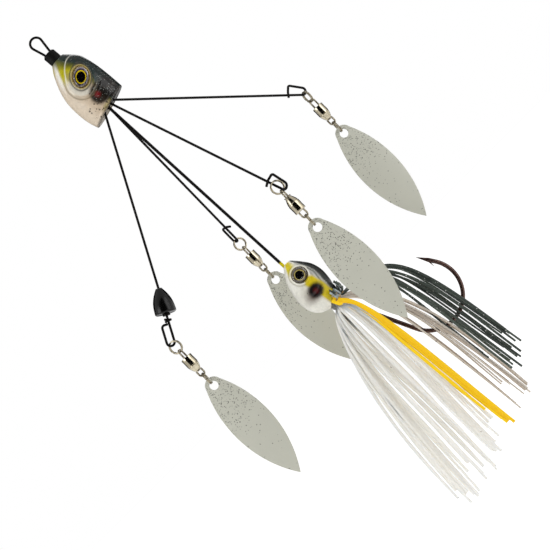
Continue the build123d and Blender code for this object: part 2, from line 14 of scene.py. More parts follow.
import bmesh
import bpy
import numpy as np
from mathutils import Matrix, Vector


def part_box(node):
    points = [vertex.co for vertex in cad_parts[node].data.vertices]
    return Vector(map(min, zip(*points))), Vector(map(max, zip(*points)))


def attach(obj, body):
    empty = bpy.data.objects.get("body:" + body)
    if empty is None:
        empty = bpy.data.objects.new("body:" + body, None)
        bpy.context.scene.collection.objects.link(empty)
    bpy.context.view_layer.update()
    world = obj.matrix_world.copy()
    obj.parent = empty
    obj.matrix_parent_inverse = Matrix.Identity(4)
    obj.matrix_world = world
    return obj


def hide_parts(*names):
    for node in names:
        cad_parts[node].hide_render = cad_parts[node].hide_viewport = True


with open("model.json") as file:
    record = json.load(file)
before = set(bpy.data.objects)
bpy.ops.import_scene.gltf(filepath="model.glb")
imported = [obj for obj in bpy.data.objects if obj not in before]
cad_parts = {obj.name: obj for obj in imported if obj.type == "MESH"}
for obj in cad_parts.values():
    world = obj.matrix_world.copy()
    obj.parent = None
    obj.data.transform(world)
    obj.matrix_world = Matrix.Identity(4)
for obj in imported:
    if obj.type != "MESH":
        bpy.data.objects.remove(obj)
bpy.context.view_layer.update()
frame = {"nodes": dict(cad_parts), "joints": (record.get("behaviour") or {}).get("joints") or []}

LOG = logging.getLogger("spinnerbait")
UNIT = 0.001
ROOT = "lure"
ARMS = ("right", "front", "back", "left")
UPTURNED = "front"      # the arm whose swivel hangs with its barrel's narrow end up
MERGE_WITHIN = 2e-6     # metres between a copied mesh's corners that count as one
COPY_EDGE = 38.0        # degrees above which a copied mesh's edge stays sharp
UP = np.array([0.0, 0.0, 1.0])
Point = tuple[float, float, float]
Colour = Point
Array = np.ndarray
Node = bpy.types.Node
Socket = bpy.types.NodeSocket
Thing = bpy.types.Object


def srgb(red: float, green: float, blue: float) -> Colour:
    """Turn an 8-bit display colour into linear light: the plain sRGB curve, channel by channel."""
    def channel(value: float) -> float:
        """One channel, from 0..255 to 0..1."""
        value /= 255
        return value / 12.92 if value <= 0.04045 else ((value + 0.055) / 1.055) ** 2.4
    return channel(red), channel(green), channel(blue)


# --------------------------------------------------------------------------- number work
def soft(start: float, end: float, value: Array) -> Array:
    """Smooth step: 0 before start, 1 after end, 3t^2 - 2t^3 between.

    Args:
        start: Value where the step begins; may lie above end for a falling step.
        end: Value where it is complete.
        value: The numbers to map.

    Returns:
        The mapped numbers, from 0 to 1.
    """
    t = np.clip((value - start) / (end - start), 0.0, 1.0)
    return t * t * (3 - 2 * t)


def flow(knots: Array, values: Array, at: Array) -> Array:
    """Smooth curve through knots: cubic Hermite spans whose slopes are central differences.

    Args:
        knots: Rising positions.
        values: One value for each knot.
        at: Positions to read, any shape, held to the knots' range.

    Returns:
        The curve's values, in the shape of at.
    """
    slopes = np.gradient(values, knots)
    at = np.clip(at, knots[0], knots[-1])
    i = np.clip(np.searchsorted(knots, at, side="right") - 1, 0, len(knots) - 2)
    span = knots[i + 1] - knots[i]
    t = (at - knots[i]) / span
    rise = (2 * t ** 3 - 3 * t ** 2 + 1) * values[i] + (t ** 3 - 2 * t ** 2 + t) * span * slopes[i]
    return rise + (3 * t ** 2 - 2 * t ** 3) * values[i + 1] + (t ** 3 - t ** 2) * span * slopes[i + 1]


def unit(vectors: Array) -> Array:
    """Vectors of length one along the last axis."""
    return vectors / np.maximum(np.linalg.norm(vectors, axis=-1, keepdims=True), 1e-12)


def circle(count: int) -> Array:
    """Bearings evenly round a full turn, in radians."""
    return np.linspace(0, 2 * np.pi, count, endpoint=False)


def squared(wave: Array, power: float) -> Array:
    """A superellipse's wave: sgn(v)|v|^power, the plain wave at power 1 and squarer below it."""
    return np.sign(wave) * np.abs(wave) ** power


def hairline(value: Array, middle: float, width: float) -> Array:
    """Mask of a thin soft line: exp(-((value - middle) / width)^2)."""
    return np.exp(-((value - middle) / width) ** 2)


def spot(x: Array, z: Array, centre: tuple[float, float], reach: tuple[float, float],
         turn: float = 0.0, core: float = 0.3) -> Array:
    """Mask of an airbrushed oval: 1 in its core, falling smoothly to 0 at its edge.

    Args:
        x: Across positions.
        z: Up positions.
        centre: Middle of the oval.
        reach: Half its length across and up, before it is turned.
        turn: Turn of the oval in degrees.
        core: Share of the radius that is full strength.

    Returns:
        The mask, from 0 to 1.
    """
    c, s = math.cos(math.radians(turn)), math.sin(math.radians(turn))
    dx, dz = x - centre[0], z - centre[1]
    radius = np.hypot((dx * c + dz * s) / reach[0], (dz * c - dx * s) / reach[1])
    return soft(1.0, core, radius)


def band(x: Array, z: Array, route: list[tuple[float, float]], width: float,
         fade: float) -> Array:
    """Mask of a brushed line: 1 within its width of a route of straight runs, 0 beyond the fade.

    Args:
        x: Across positions.
        z: Up positions.
        route: Points of the line.
        width: Half width at full strength.
        fade: Distance over which it dies away.

    Returns:
        The mask, from 0 to 1.
    """
    nearest = np.full(np.shape(x), 1e9)
    for (ax, az), (bx, bz) in zip(route, route[1:]):
        run = (bx - ax) ** 2 + (bz - az) ** 2
        t = np.clip(((x - ax) * (bx - ax) + (z - az) * (bz - az)) / run, 0, 1)
        nearest = np.minimum(nearest, np.hypot(x - ax - t * (bx - ax), z - az - t * (bz - az)))
    return soft(width + fade, width, nearest)


# --------------------------------------------------------------------------- meshes
def stand(name: str, data: bpy.types.ID) -> Thing:
    """A new object of some data, linked to the scene at the origin."""
    thing = bpy.data.objects.new(name, data)
    bpy.context.scene.collection.objects.link(thing)
    return thing


class Skin:
    """A mesh gathered from grids of points, each closed or capped and turned to face outwards."""

    def __init__(self) -> None:
        """Start with nothing."""
        self.points: list[Array] = []
        self.quads: list[Array] = []
        self.triangles: list[Array] = []
        self.marks: dict[str, list[Array]] = {}
        self.count = 0

    def grid(self, points: Array, ring: bool = True, loop: bool = False,
             **marks: Array) -> "Skin":
        """Add a grid: rows of points joined to the next row; each row is a ring unless told.

        Args:
            points: Array of rows, columns and three coordinates, in millimetres.
            ring: Whether each row closes on itself.
            loop: Whether the last row joins the first; if not, both ends get a fan to a pole.
            marks: Named values for each point, kept as mesh attributes.

        Returns:
            This skin, to chain calls.
        """
        rows, cols = points.shape[:2]
        index = np.arange(rows * cols).reshape(rows, cols)
        ahead = np.roll(index, -1, axis=1) if ring else index[:, 1:]
        here = index if ring else index[:, :-1]
        below = np.roll(ahead, -1, axis=0) if loop else ahead[1:]
        under = np.roll(here, -1, axis=0) if loop else here[1:]
        here, ahead = (here, ahead) if loop else (here[:-1], ahead[:-1])
        quads = np.stack([here, ahead, below, under], -1).reshape(-1, 4)
        flat = points.reshape(-1, 3)
        triangles = np.zeros((0, 3), int)
        values = {name: np.asarray(value).reshape(rows * cols, -1) for name, value in marks.items()}
        if not loop:
            poles = np.stack([points[0].mean(0), points[-1].mean(0)])
            first, last = rows * cols, rows * cols + 1
            nxt = np.roll(index, -1, axis=1)
            top = np.stack([nxt[0], index[0], np.full(cols, first)], -1)
            end = np.stack([index[-1], nxt[-1], np.full(cols, last)], -1)
            triangles = np.concatenate([top, end])
            flat = np.concatenate([flat, poles])
            values = {n: np.concatenate([v, v[:cols].mean(0, keepdims=True), v[-cols:].mean(0, keepdims=True)])
                      for n, v in values.items()}
        corners = flat[np.concatenate([quads[:, :3], quads[:, [0, 2, 3]], triangles])]
        volume = np.einsum("ij,ij->i", corners[:, 0], np.cross(corners[:, 1], corners[:, 2])).sum()
        if volume < 0:
            quads, triangles = quads[:, ::-1], triangles[:, ::-1]
        self.points.append(flat)
        self.quads.append(quads + self.count)
        self.triangles.append(triangles + self.count)
        for name, value in values.items():
            self.marks.setdefault(name, []).append(value)
        self.count += len(flat)
        return self

    def build(self, name: str, edge: float = 50.0) -> Thing:
        """Make the mesh object, in metres, smooth but for edges sharper than an angle.

        Args:
            name: Name of the piece.
            edge: Angle in degrees above which an edge stays sharp.

        Returns:
            The new object, at the origin.
        """
        points = np.concatenate(self.points) * UNIT
        quads, triangles = np.concatenate(self.quads), np.concatenate(self.triangles)
        loops = np.concatenate([quads.ravel(), triangles.ravel()])
        sizes = np.concatenate([np.full(len(quads), 4), np.full(len(triangles), 3)])
        mesh = bpy.data.meshes.new(name)
        mesh.vertices.add(len(points))
        mesh.vertices.foreach_set("co", points.ravel())
        mesh.loops.add(len(loops))
        mesh.loops.foreach_set("vertex_index", loops)
        mesh.polygons.add(len(sizes))
        mesh.polygons.foreach_set("loop_start", np.concatenate([[0], np.cumsum(sizes)[:-1]]))
        mesh.polygons.foreach_set("loop_total", sizes)
        mesh.update(calc_edges=True)
        mesh.validate()
        for mark, parts in self.marks.items():
            value = np.concatenate(parts)
            if value.shape[1] == 3:
                layer = mesh.attributes.new(mark, "FLOAT_COLOR", "POINT")
                full = np.concatenate([value, np.ones((len(value), 1))], 1)
                layer.data.foreach_set("color", full.ravel().astype(np.float32))
            else:
                layer = mesh.attributes.new(mark, "FLOAT", "POINT")
                layer.data.foreach_set("value", value.ravel().astype(np.float32))
        mesh.shade_smooth()
        mesh.set_sharp_from_angle(angle=math.radians(edge))
        return stand(name, mesh)


def tube(path: Array, width: Array | float, depth: Array | float,
         side: Array, sides: int = 10, square: float = 1.0) -> Array:
    """Profile carried along a path: each row is a ring of superellipse points about the path.

    A ring point is path + side * width * sgn(cos a)|cos a|^square + lift * depth * sgn(sin a)|sin a|^square,
    where lift is the tangent crossed with the side direction.

    Args:
        path: Points of the centre line.
        width: Half width along the side direction, one number or one for each point.
        depth: Half thickness across it.
        side: Side direction, one vector or one for each point.
        sides: Points in each ring.
        square: 1 for an ellipse, less for a squarer section.

    Returns:
        Rows of rings, for Skin.grid.
    """
    tangent = unit(np.gradient(path, axis=0))
    side = np.broadcast_to(side, path.shape)
    side = unit(side - tangent * (side * tangent).sum(-1, keepdims=True))
    lift = np.cross(tangent, side)
    angle = circle(sides)
    across, over = squared(np.cos(angle), square), squared(np.sin(angle), square)
    wide = np.broadcast_to(width, len(path))[:, None, None]
    thick = np.broadcast_to(depth, len(path))[:, None, None]
    return path[:, None] + side[:, None] * across[:, None] * wide + lift[:, None] * over[:, None] * thick


def centre_of(node: str) -> Array:
    """Centre of a CAD node's box, in millimetres."""
    low, high = (np.array(corner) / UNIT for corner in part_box(node))
    return (low + high) / 2


def joint(name: str) -> tuple[Array, Array]:
    """Place in millimetres and axis of a joint of the frame."""
    found = next(j for j in frame["joints"] if j["name"] == name)
    return np.array(found["pos_m"]) / UNIT, np.array(found["axis"])


def smooth_copy(node: str) -> Thing:
    """A merged, smooth-shaded copy of a CAD node's mesh, to carry the visible finish.

    Args:
        node: Name of the CAD node.

    Returns:
        The copy, named after the node.
    """
    mesh = frame["nodes"][node].data.copy()
    shape = bmesh.new()
    shape.from_mesh(mesh)
    bmesh.ops.remove_doubles(shape, verts=shape.verts, dist=MERGE_WITHIN)
    shape.to_mesh(mesh)
    shape.free()
    mesh.materials.clear()
    mesh.shade_smooth()
    mesh.set_sharp_from_angle(angle=math.radians(COPY_EDGE))
    return stand(node + "_finish", mesh)


def fit_piece(piece: Thing, material: bpy.types.Material, body: str, slot: str,
              *nodes: str) -> None:
    """Dress a piece, set it on its body, and let it stand for its CAD nodes.

    Args:
        piece: The new object.
        material: Its finish.
        body: The body it moves with.
        slot: The record's material slot; not used.
        nodes: CAD nodes that it replaces.
    """
    piece.data.materials.clear()
    piece.data.materials.append(material)
    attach(piece, body)
    if nodes:
        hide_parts(*nodes)
    LOG.info("piece %s on %s, %d faces", piece.name, body, len(piece.data.polygons))


# --------------------------------------------------------------------------- shader trees
class Tree:
    """A node tree with short calls to add nodes and join them."""

    def __init__(self, tree: bpy.types.NodeTree) -> None:
        """Wrap a node tree."""
        self.tree = tree

    def add(self, kind: str, inputs: dict | None = None, **settings: object) -> Node:
        """Add a node.

        Args:
            kind: Node type without the ShaderNode prefix.
            inputs: Input name or index to a constant, or to a socket to join.
            settings: Node properties.

        Returns:
            The node.
        """
        node = self.tree.nodes.new("ShaderNode" + kind)
        for key, value in settings.items():
            setattr(node, key, value)
        for key, value in (inputs or {}).items():
            self.put(node.inputs[key], value)
        return node

    def put(self, socket: Socket, value: object) -> None:
        """Join a socket to another, or set its constant."""
        if isinstance(value, Socket):
            self.tree.links.new(value, socket)
        elif isinstance(value, tuple) and len(value) == 3 and socket.type == "RGBA":
            socket.default_value = (*value, 1.0)
        else:
            socket.default_value = value

    def math(self, operation: str, *values: object) -> Socket:
        """A Math node's result."""
        return self.add("Math", dict(enumerate(values)), operation=operation).outputs[0]

    def mix(self, factor: object, low: object, high: object, blend: str = "MIX") -> Socket:
        """A colour mix: low where the factor is 0, high where it is 1."""
        node = self.add("Mix", {0: factor, 6: low, 7: high}, data_type="RGBA", blend_type=blend)
        return node.outputs[2]

    def remap(self, value: object, start: float, end: float, low: float = 0.0,
              high: float = 1.0) -> Socket:
        """A clamped Map Range from start..end to low..high."""
        return self.add("MapRange", {0: value, 1: start, 2: end, 3: low, 4: high}).outputs[0]

    def join(self, node: Node, **values: object) -> None:
        """Fill a node's sockets, named with underscores for spaces, with constants or other sockets."""
        for key, value in values.items():
            self.put(node.inputs[key.replace("_", " ")], value)

    def grey(self, value: Socket) -> Socket:
        """One number as a grey colour."""
        return self.add("CombineColor", {0: value, 1: value, 2: value}).outputs[0]

    def mark(self, name: str, output: str = "Fac") -> Socket:
        """A mesh attribute."""
        return self.add("Attribute", attribute_name=name).outputs[output]

    def seen_by(self, *rays: str) -> Socket:
        """1 for the named kinds of ray, 0 for the others."""
        path = self.add("LightPath")
        first, *rest = (path.outputs[f"Is {ray} Ray"] for ray in rays)
        for other in rest:
            first = self.math("MAXIMUM", first, other)
        return first

    def place(self) -> Socket:
        """Object coordinates."""
        return self.add("TexCoord").outputs["Object"]

    def noise(self, vector: object, scale: float, detail: float = 3.0, rough: float = 0.55) -> Socket:
        """Noise from 0 to 1 at a scale in cycles per metre."""
        return self.add("TexNoise", {"Vector": vector, "Scale": scale, "Detail": detail,
                                     "Roughness": rough}).outputs["Fac"]

    def bump(self, height: object, strength: float, distance: float) -> Socket:
        """A normal bent by a height."""
        return self.add("Bump", {"Height": height, "Strength": strength, "Distance": distance}).outputs[0]


class Shared(Enum):
    """The effects that several finishes share, as node groups with named sockets."""
    SPECKLE = "speckle"
    MOTTLE = "mottle"
    TARNISH = "tarnish"

    def group(self) -> bpy.types.NodeTree:
        """The effect's node group, built once."""
        found = bpy.data.node_groups.get(self.value)
        return found or GROUP_MAKERS[self]()


def open_group(effect: Shared, inputs: dict[str, tuple[str, object]],
               outputs: dict[str, str]) -> tuple[Tree, Node, Node]:
    """Start a node group with its named sockets.

    Args:
        effect: Which effect.
        inputs: Socket name to its kind and default value.
        outputs: Socket name to its kind.

    Returns:
        The tree, its input node and its output node.
    """
    tree = bpy.data.node_groups.new(effect.value, "ShaderNodeTree")
    for name, (kind, default) in inputs.items():
        socket = tree.interface.new_socket(name=name, in_out="INPUT", socket_type="NodeSocket" + kind)
        if default is not None:
            socket.default_value = default
    for name, kind in outputs.items():
        tree.interface.new_socket(name=name, in_out="OUTPUT", socket_type="NodeSocket" + kind)
    return Tree(tree), tree.nodes.new("NodeGroupInput"), tree.nodes.new("NodeGroupOutput")


def speckle_group() -> bpy.types.NodeTree:
    """Round specks: Voronoi cells whose centre is nearer than the cell's own random radius."""
    tree, start, end = open_group(
        Shared.SPECKLE,
        {"Vector": ("Vector", None), "Scale": ("Float", 900.0), "Size": ("Float", 0.3), "Share": ("Float", 0.3)},
        {"Mask": "Float"})
    cells = tree.add("TexVoronoi", {"Vector": start.outputs["Vector"], "Scale": start.outputs["Scale"]})
    chance = tree.add("SeparateColor", {0: cells.outputs["Color"]})
    radius = tree.math("MULTIPLY", tree.remap(chance.outputs[1], 0, 1, 0.45, 1.0), start.outputs["Size"])
    edge = tree.math("SUBTRACT", radius, cells.outputs["Distance"])
    inside = tree.remap(edge, -0.03, 0.05)
    chosen = tree.math("LESS_THAN", chance.outputs[0], start.outputs["Share"])
    tree.join(end, Mask=tree.math("MULTIPLY", inside, chosen))
    return tree.tree


def mottle_group() -> bpy.types.NodeTree:
    """Uneven colour: the colour is scaled by broad noise plus a little fine noise."""
    tree, start, end = open_group(
        Shared.MOTTLE,
        {"Vector": ("Vector", None), "Colour": ("Color", (1, 1, 1, 1)), "Scale": ("Float", 300.0),
         "Amount": ("Float", 0.1)},
        {"Colour": "Color", "Height": "Float"})
    broad = tree.noise(start.outputs["Vector"], start.outputs["Scale"])
    fine = tree.noise(start.outputs["Vector"], 2600.0, 2.0)
    both = tree.math("ADD", tree.math("MULTIPLY", broad, 0.75), tree.math("MULTIPLY", fine, 0.25))
    swing = tree.math("MULTIPLY", tree.math("SUBTRACT", both, 0.5), start.outputs["Amount"])
    gain = tree.math("ADD", tree.math("MULTIPLY", swing, 2.0), 1.0)
    tree.join(end, Colour=tree.mix(1.0, start.outputs["Colour"], tree.grey(gain), "MULTIPLY"), Height=both)
    return tree.tree


def tarnish_group() -> bpy.types.NodeTree:
    """Handled metal: bright and tarnished colours mixed by streaky noise, rougher where tarnished."""
    tree, start, end = open_group(
        Shared.TARNISH,
        {"Vector": ("Vector", None), "Bright": ("Color", (1, 1, 1, 1)), "Tarnish": ("Color", (0.5, 0.4, 0.3, 1)),
         "Amount": ("Float", 0.4), "Low Roughness": ("Float", 0.12), "High Roughness": ("Float", 0.35)},
        {"Colour": "Color", "Roughness": "Float", "Height": "Float"})
    streak = tree.add("Mapping", {"Vector": start.outputs["Vector"], "Scale": (1.0, 1.0, 0.35)}).outputs[0]
    wear = tree.remap(tree.noise(streak, 1400.0, 4.0, 0.6), 0.38, 0.68)
    share = tree.math("MULTIPLY", wear, start.outputs["Amount"])
    low = start.outputs["Low Roughness"]
    span = tree.math("SUBTRACT", start.outputs["High Roughness"], low)
    tree.join(end, Colour=tree.mix(share, start.outputs["Bright"], start.outputs["Tarnish"]),
              Roughness=tree.math("ADD", tree.math("MULTIPLY", wear, span), low), Height=wear)
    return tree.tree


GROUP_MAKERS: dict[Shared, Callable[[], bpy.types.NodeTree]] = {
    Shared.SPECKLE: speckle_group, Shared.MOTTLE: mottle_group, Shared.TARNISH: tarnish_group}


@dataclass(frozen=True)
class Finish:
    """A finish: what every one of them has, and the calls that build its material."""
    name: str

    def make(self) -> bpy.types.Material:
        """The finish's material, built once."""
        found = bpy.data.materials.get(self.name)
        if found:
            return found
        material = bpy.data.materials.new(self.name)
        material.use_nodes = True
        self.dress(Tree(material.node_tree), material.node_tree.nodes["Principled BSDF"])
        return material

    def dress(self, tree: Tree, shader: Node) -> None:
        """Fill in the shader's sockets."""
        raise NotImplementedError

    def shared(self, tree: Tree, effect: Shared, **inputs: object) -> Node:
        """Place a shared effect, its inputs named with underscores for spaces."""
        node = tree.tree.nodes.new("ShaderNodeGroup")
        node.node_tree = effect.group()
        tree.join(node, **inputs)
        return node


@dataclass(frozen=True)
class Coated(Finish):
    """A coated wire, moulding or sleeve: one colour, slightly mottled, with fine texture."""
    colour: Colour
    roughness: float = 0.4
    grain: float = 1800.0
    relief: float = 0.02
    amount: float = 0.25
    specular: float = 0.5

    def dress(self, tree: Tree, shader: Node) -> None:
        """Mottled colour, roughness that follows the mottle, and a fine bump."""
        mottle = self.shared(tree, Shared.MOTTLE, Vector=tree.place(), Colour=self.colour, Scale=self.grain * 0.3,
                             Amount=self.amount)
        rough = tree.remap(mottle.outputs["Height"], 0.3, 0.7, self.roughness * 0.8, self.roughness * 1.25)
        grain = tree.bump(tree.noise(tree.place(), self.grain), 0.35, self.relief * UNIT)
        tree.join(shader, Base_Color=mottle.outputs["Colour"], Roughness=rough, Normal=grain,
                  Specular_IOR_Level=self.specular)


@dataclass(frozen=True)
class DippedWire(Coated):
    """The centre wire's coating, with paint run down from the jig over its end."""
    paint: Colour = (0.6, 0.5, 0.02)
    edge: float = -104.2

    def dress(self, tree: Tree, shader: Node) -> None:
        """The plain coating, changed to paint below a slightly ragged height."""
        super().dress(tree, shader)
        height = tree.add("SeparateXYZ", {0: tree.place()}).outputs[2]
        ragged = tree.math("ADD", height, tree.math("MULTIPLY", tree.noise(tree.place(), 900.0), 0.0008))
        mask = tree.remap(ragged, (self.edge + 0.7) * UNIT, (self.edge + 0.2) * UNIT)
        plain = shader.inputs["Base Color"].links[0].from_socket
        tree.join(shader, Base_Color=tree.mix(mask, plain, self.paint))


@dataclass(frozen=True)
class Plated(Finish):
    """Bright plated metal, a little tarnished in streaks."""
    bright: Colour
    tarnish: Colour
    amount: float = 0.5
    low: float = 0.12
    high: float = 0.32

    def dress(self, tree: Tree, shader: Node) -> None:
        """Metal with the tarnish group's colour, roughness and a faint bump."""
        worn = self.shared(tree, Shared.TARNISH, Vector=tree.place(), Bright=self.bright, Tarnish=self.tarnish,
                           Amount=self.amount, Low_Roughness=self.low, High_Roughness=self.high)
        tree.join(shader, Base_Color=worn.outputs["Colour"], Roughness=worn.outputs["Roughness"],
                  Normal=tree.bump(worn.outputs["Height"], 0.15, 0.02 * UNIT), Metallic=1.0)


@dataclass(frozen=True)
class PearlPaint(Finish):
    """Baked pearl paint on a blade: pale grey, lightly clouded, with dark specks by the hole."""
    colour: Colour
    speck: Colour

    def dress(self, tree: Tree, shader: Node) -> None:
        """Clouded colour and two sizes of speck, whose share rises towards the hole."""
        place = tree.place()
        cloud = self.shared(tree, Shared.MOTTLE, Vector=place, Colour=self.colour, Scale=110.0, Amount=0.07)
        near = tree.mark("near_hole")
        small = self.shared(tree, Shared.SPECKLE, Vector=place, Scale=2500.0, Size=0.48,
                            Share=tree.remap(near, 0, 1, 0.025, 0.5))
        large = self.shared(tree, Shared.SPECKLE, Vector=place, Scale=1600.0, Size=0.4,
                            Share=tree.remap(near, 0, 1, 0.012, 0.17))
        specks = tree.math("MAXIMUM", small.outputs["Mask"], large.outputs["Mask"])
        weight = tree.math("MULTIPLY", specks, 0.8)
        tree.join(shader, Base_Color=tree.mix(weight, cloud.outputs["Colour"], self.speck),
                  Roughness=tree.remap(tree.noise(place, 420.0), 0.3, 0.7, 0.3, 0.42),
                  Normal=tree.bump(specks, 0.3, 0.03 * UNIT), Coat_Weight=0.2, Coat_Roughness=0.2)


@dataclass(frozen=True)
class Airbrushed(Finish):
    """Clear-coated airbrushed paint: the painted colours with specks, flakes and fine grain."""
    dark: Colour
    flake: Colour

    def dress(self, tree: Tree, shader: Node) -> None:
        """Painted attribute colour, dark specks and pale flakes by their own painted weights."""
        place = tree.place()
        grain = self.shared(tree, Shared.MOTTLE, Vector=place, Colour=tree.mark("paint", "Color"), Scale=900.0,
                            Amount=0.3)
        specks = self.shared(tree, Shared.SPECKLE, Vector=place, Scale=1500.0, Size=0.62,
                             Share=tree.remap(tree.mark("specks"), 0, 1, 0.0, 0.6))
        shaded = tree.mix(tree.math("MULTIPLY", specks.outputs["Mask"], 0.8), grain.outputs["Colour"], self.dark)
        flakes = self.shared(tree, Shared.SPECKLE, Vector=place, Scale=2600.0, Size=0.45,
                             Share=tree.remap(tree.mark("flakes"), 0, 1, 0.0, 0.3))
        colour = tree.mix(tree.math("MULTIPLY", flakes.outputs["Mask"], 0.5), shaded, self.flake)
        tree.join(shader, Base_Color=colour, Roughness=tree.remap(grain.outputs["Height"], 0.3, 0.7, 0.28, 0.4),
                  Normal=tree.bump(grain.outputs["Height"], 0.12, 0.05 * UNIT), Specular_IOR_Level=0.15,
                  Coat_Weight=0.2, Coat_Roughness=0.07)


@dataclass(frozen=True)
class EyePrint(Finish):
    """A printed eye: rings of colour about the pupil, with foil flecks in the iris."""
    centre: tuple[float, float]
    radius: float
    rings: tuple[tuple[float, Colour], ...]
    turn: float = 0.0
    squeeze: tuple[float, float] = (1.0, 1.0)
    foil: float = 0.35

    def dress(self, tree: Tree, shader: Node) -> None:
        """Colour by distance from the pupil's centre, through hard-edged rings."""
        place = tree.place()
        middle = tree.add("VectorMath", {0: place, 1: (self.centre[0] * UNIT, 0.0, self.centre[1] * UNIT)},
                          operation="SUBTRACT").outputs[0]
        turned = tree.add("Mapping", {"Vector": middle, "Rotation": (0.0, math.radians(self.turn), 0.0)}).outputs[0]
        flat = tree.add("VectorMath", {0: turned, 1: (1 / self.squeeze[0], 0.0, 1 / self.squeeze[1])},
                        operation="MULTIPLY").outputs[0]
        radius = tree.add("VectorMath", {0: flat}, operation="LENGTH").outputs["Value"]
        waver = tree.math("SUBTRACT", tree.noise(place, 1500.0), 0.5)
        ragged = tree.math("ADD", radius, tree.math("MULTIPLY", waver, 0.12 * UNIT))
        colour: object = self.rings[0][1]
        for edge, tint in self.rings[1:]:
            step = tree.remap(ragged, (edge * self.radius - 0.05) * UNIT, (edge * self.radius + 0.05) * UNIT)
            colour = tree.mix(step, colour, tint)
        foil = self.shared(tree, Shared.SPECKLE, Vector=place, Scale=2100.0, Size=0.5, Share=0.35)
        iris = tree.remap(radius, 0.62 * self.radius * UNIT, 0.7 * self.radius * UNIT)
        weight = tree.math("MULTIPLY", tree.math("MULTIPLY", foil.outputs["Mask"], iris), self.foil)
        tree.join(shader, Base_Color=tree.mix(weight, colour, (0.62, 0.58, 0.62)),
                  Roughness=tree.remap(iris, 0, 1, 0.2, 0.32))


@dataclass(frozen=True)
class ClearResin(Finish):
    """The clear domed lens over an eye: almost no body, a hard bright gloss."""

    def dress(self, tree: Tree, shader: Node) -> None:
        """A mirror shown at the share of light that clear resin reflects, faintly wavy, with no body of its own."""
        ripple = tree.noise(tree.place(), 260.0, 1.0)
        shade = tree.remap(ripple, 0.3, 0.7, 0.94, 1.0)
        tree.join(shader, Base_Color=tree.grey(shade), Normal=tree.bump(ripple, 0.05, 0.05 * UNIT), Metallic=1.0,
                  Roughness=0.04, Alpha=0.05)


@dataclass(frozen=True)
class Silicone(Finish):
    """Silicone skirt strands: tinted body, moulded lengthways ribs, glitter and specks inside."""
    colour: Colour
    shade: Colour
    speck: Colour
    share: float = 0.05
    glow: float = 0.0
    glitter: float = 0.0

    def dress(self, tree: Tree, shader: Node) -> None:
        """Strand-to-strand tint, ribs from the across value, specks and glitter from cells."""
        place = tree.place()
        own, across = tree.mark("own"), tree.mark("across")
        base = tree.mix(own, self.colour, self.shade)
        spread = (tree.math("MULTIPLY", across, 2.2), tree.math("MULTIPLY", own, 40.0),
                  tree.math("MULTIPLY", tree.mark("along"), 1.5))
        streak = tree.noise(tree.add("CombineXYZ", dict(enumerate(spread))).outputs[0], 3.0, 3.0)
        base = tree.mix(tree.remap(streak, 0.4, 0.75, 0.0, 0.45), base, self.shade)
        dots = self.shared(tree, Shared.SPECKLE, Vector=place, Scale=700.0, Size=0.32, Share=self.share)
        base = tree.mix(tree.math("MULTIPLY", dots.outputs["Mask"], 0.7), base, self.speck)
        if self.glitter:
            flash = self.shared(tree, Shared.SPECKLE, Vector=place, Scale=2000.0, Size=0.5, Share=self.glitter)
            base = tree.mix(tree.math("MULTIPLY", flash.outputs["Mask"], 0.5), base, (0.75, 0.73, 0.7))
        ribs = tree.math("SINE", tree.math("MULTIPLY", across, 7.0))
        tree.join(shader, Base_Color=base, Normal=tree.bump(ribs, 0.15, 0.04 * UNIT),
                  Roughness=tree.remap(streak, 0.3, 0.7, 0.34, 0.5), Subsurface_Weight=self.glow,
                  Subsurface_Radius=(1.0, 0.9, 0.8), Subsurface_Scale=2.5 * UNIT, Specular_IOR_Level=0.3)


BLACK = srgb(10, 8, 7)
BLACK_WIRE = Coated("black_spring_wire", BLACK, 0.45, 2400.0, specular=0.08)
CENTRE_WIRE = DippedWire("dipped_centre_wire", BLACK, 0.45, 2400.0, specular=0.08, paint=srgb(200, 184, 20))
SLEEVE_RUBBER = Coated("sleeve_rubber", srgb(7, 7, 7), 0.55, 900.0, 0.06, specular=0.1)
BEAD_GLOSS = Coated("black_bead_gloss", srgb(5, 5, 5), 0.2, 500.0, 0.01, specular=0.22)
COLLAR_RUBBER = Coated("collar_rubber", srgb(246, 238, 208), 0.5, 900.0, 0.06)
HOOK_BRONZE = Plated("bronzed_hook", srgb(92, 72, 66), srgb(38, 30, 28), 0.8, 0.2, 0.36)
NICKEL = Plated("warm_nickel", srgb(186, 178, 156), srgb(96, 82, 62), 0.5, 0.1, 0.2)
# Rings and swivel eyes: the swivel's plated metal darkened, painted shade standing in for the dark reflections along
# their edges.
RING_STEEL_SHADED = Plated("split_ring_steel_shaded", srgb(158, 150, 130), srgb(66, 54, 40), 0.7, 0.08, 0.18)
BALL_STEEL = Plated("polished_balls", srgb(228, 228, 230), srgb(170, 168, 166), 0.3, 0.05, 0.12)
BLADE_PEARL = PearlPaint("pearl_blade_paint", srgb(190, 190, 177), srgb(66, 64, 60))
HEAD_PAINT = Airbrushed("front_head_paint", srgb(44, 34, 26), srgb(176, 182, 176))
JIG_PAINT = Airbrushed("jig_head_paint", srgb(46, 34, 30), srgb(240, 240, 238))
LENS = ClearResin("clear_eye_resin")
FLECK_SILVER = Silicone("silver_fleck", srgb(186, 198, 202), srgb(120, 132, 138), srgb(40, 44, 46), 0.2)
FLECK_TAN = Silicone("tan_fleck", srgb(196, 172, 132), srgb(120, 92, 60), srgb(60, 44, 30), 0.2)
WHITE_SILICONE = Silicone("white_silicone", srgb(255, 253, 246), srgb(250, 243, 226), srgb(110, 92, 78), 0.008, 0.9)
YELLOW_SILICONE = Silicone("yellow_silicone", srgb(255, 218, 10), srgb(244, 188, 0), srgb(120, 90, 10), 0.01)
SMOKE_SILICONE = Silicone("smoke_silicone", srgb(214, 205, 192), srgb(144, 126, 108), srgb(70, 58, 48), 0.15, 0.3, 0.15)
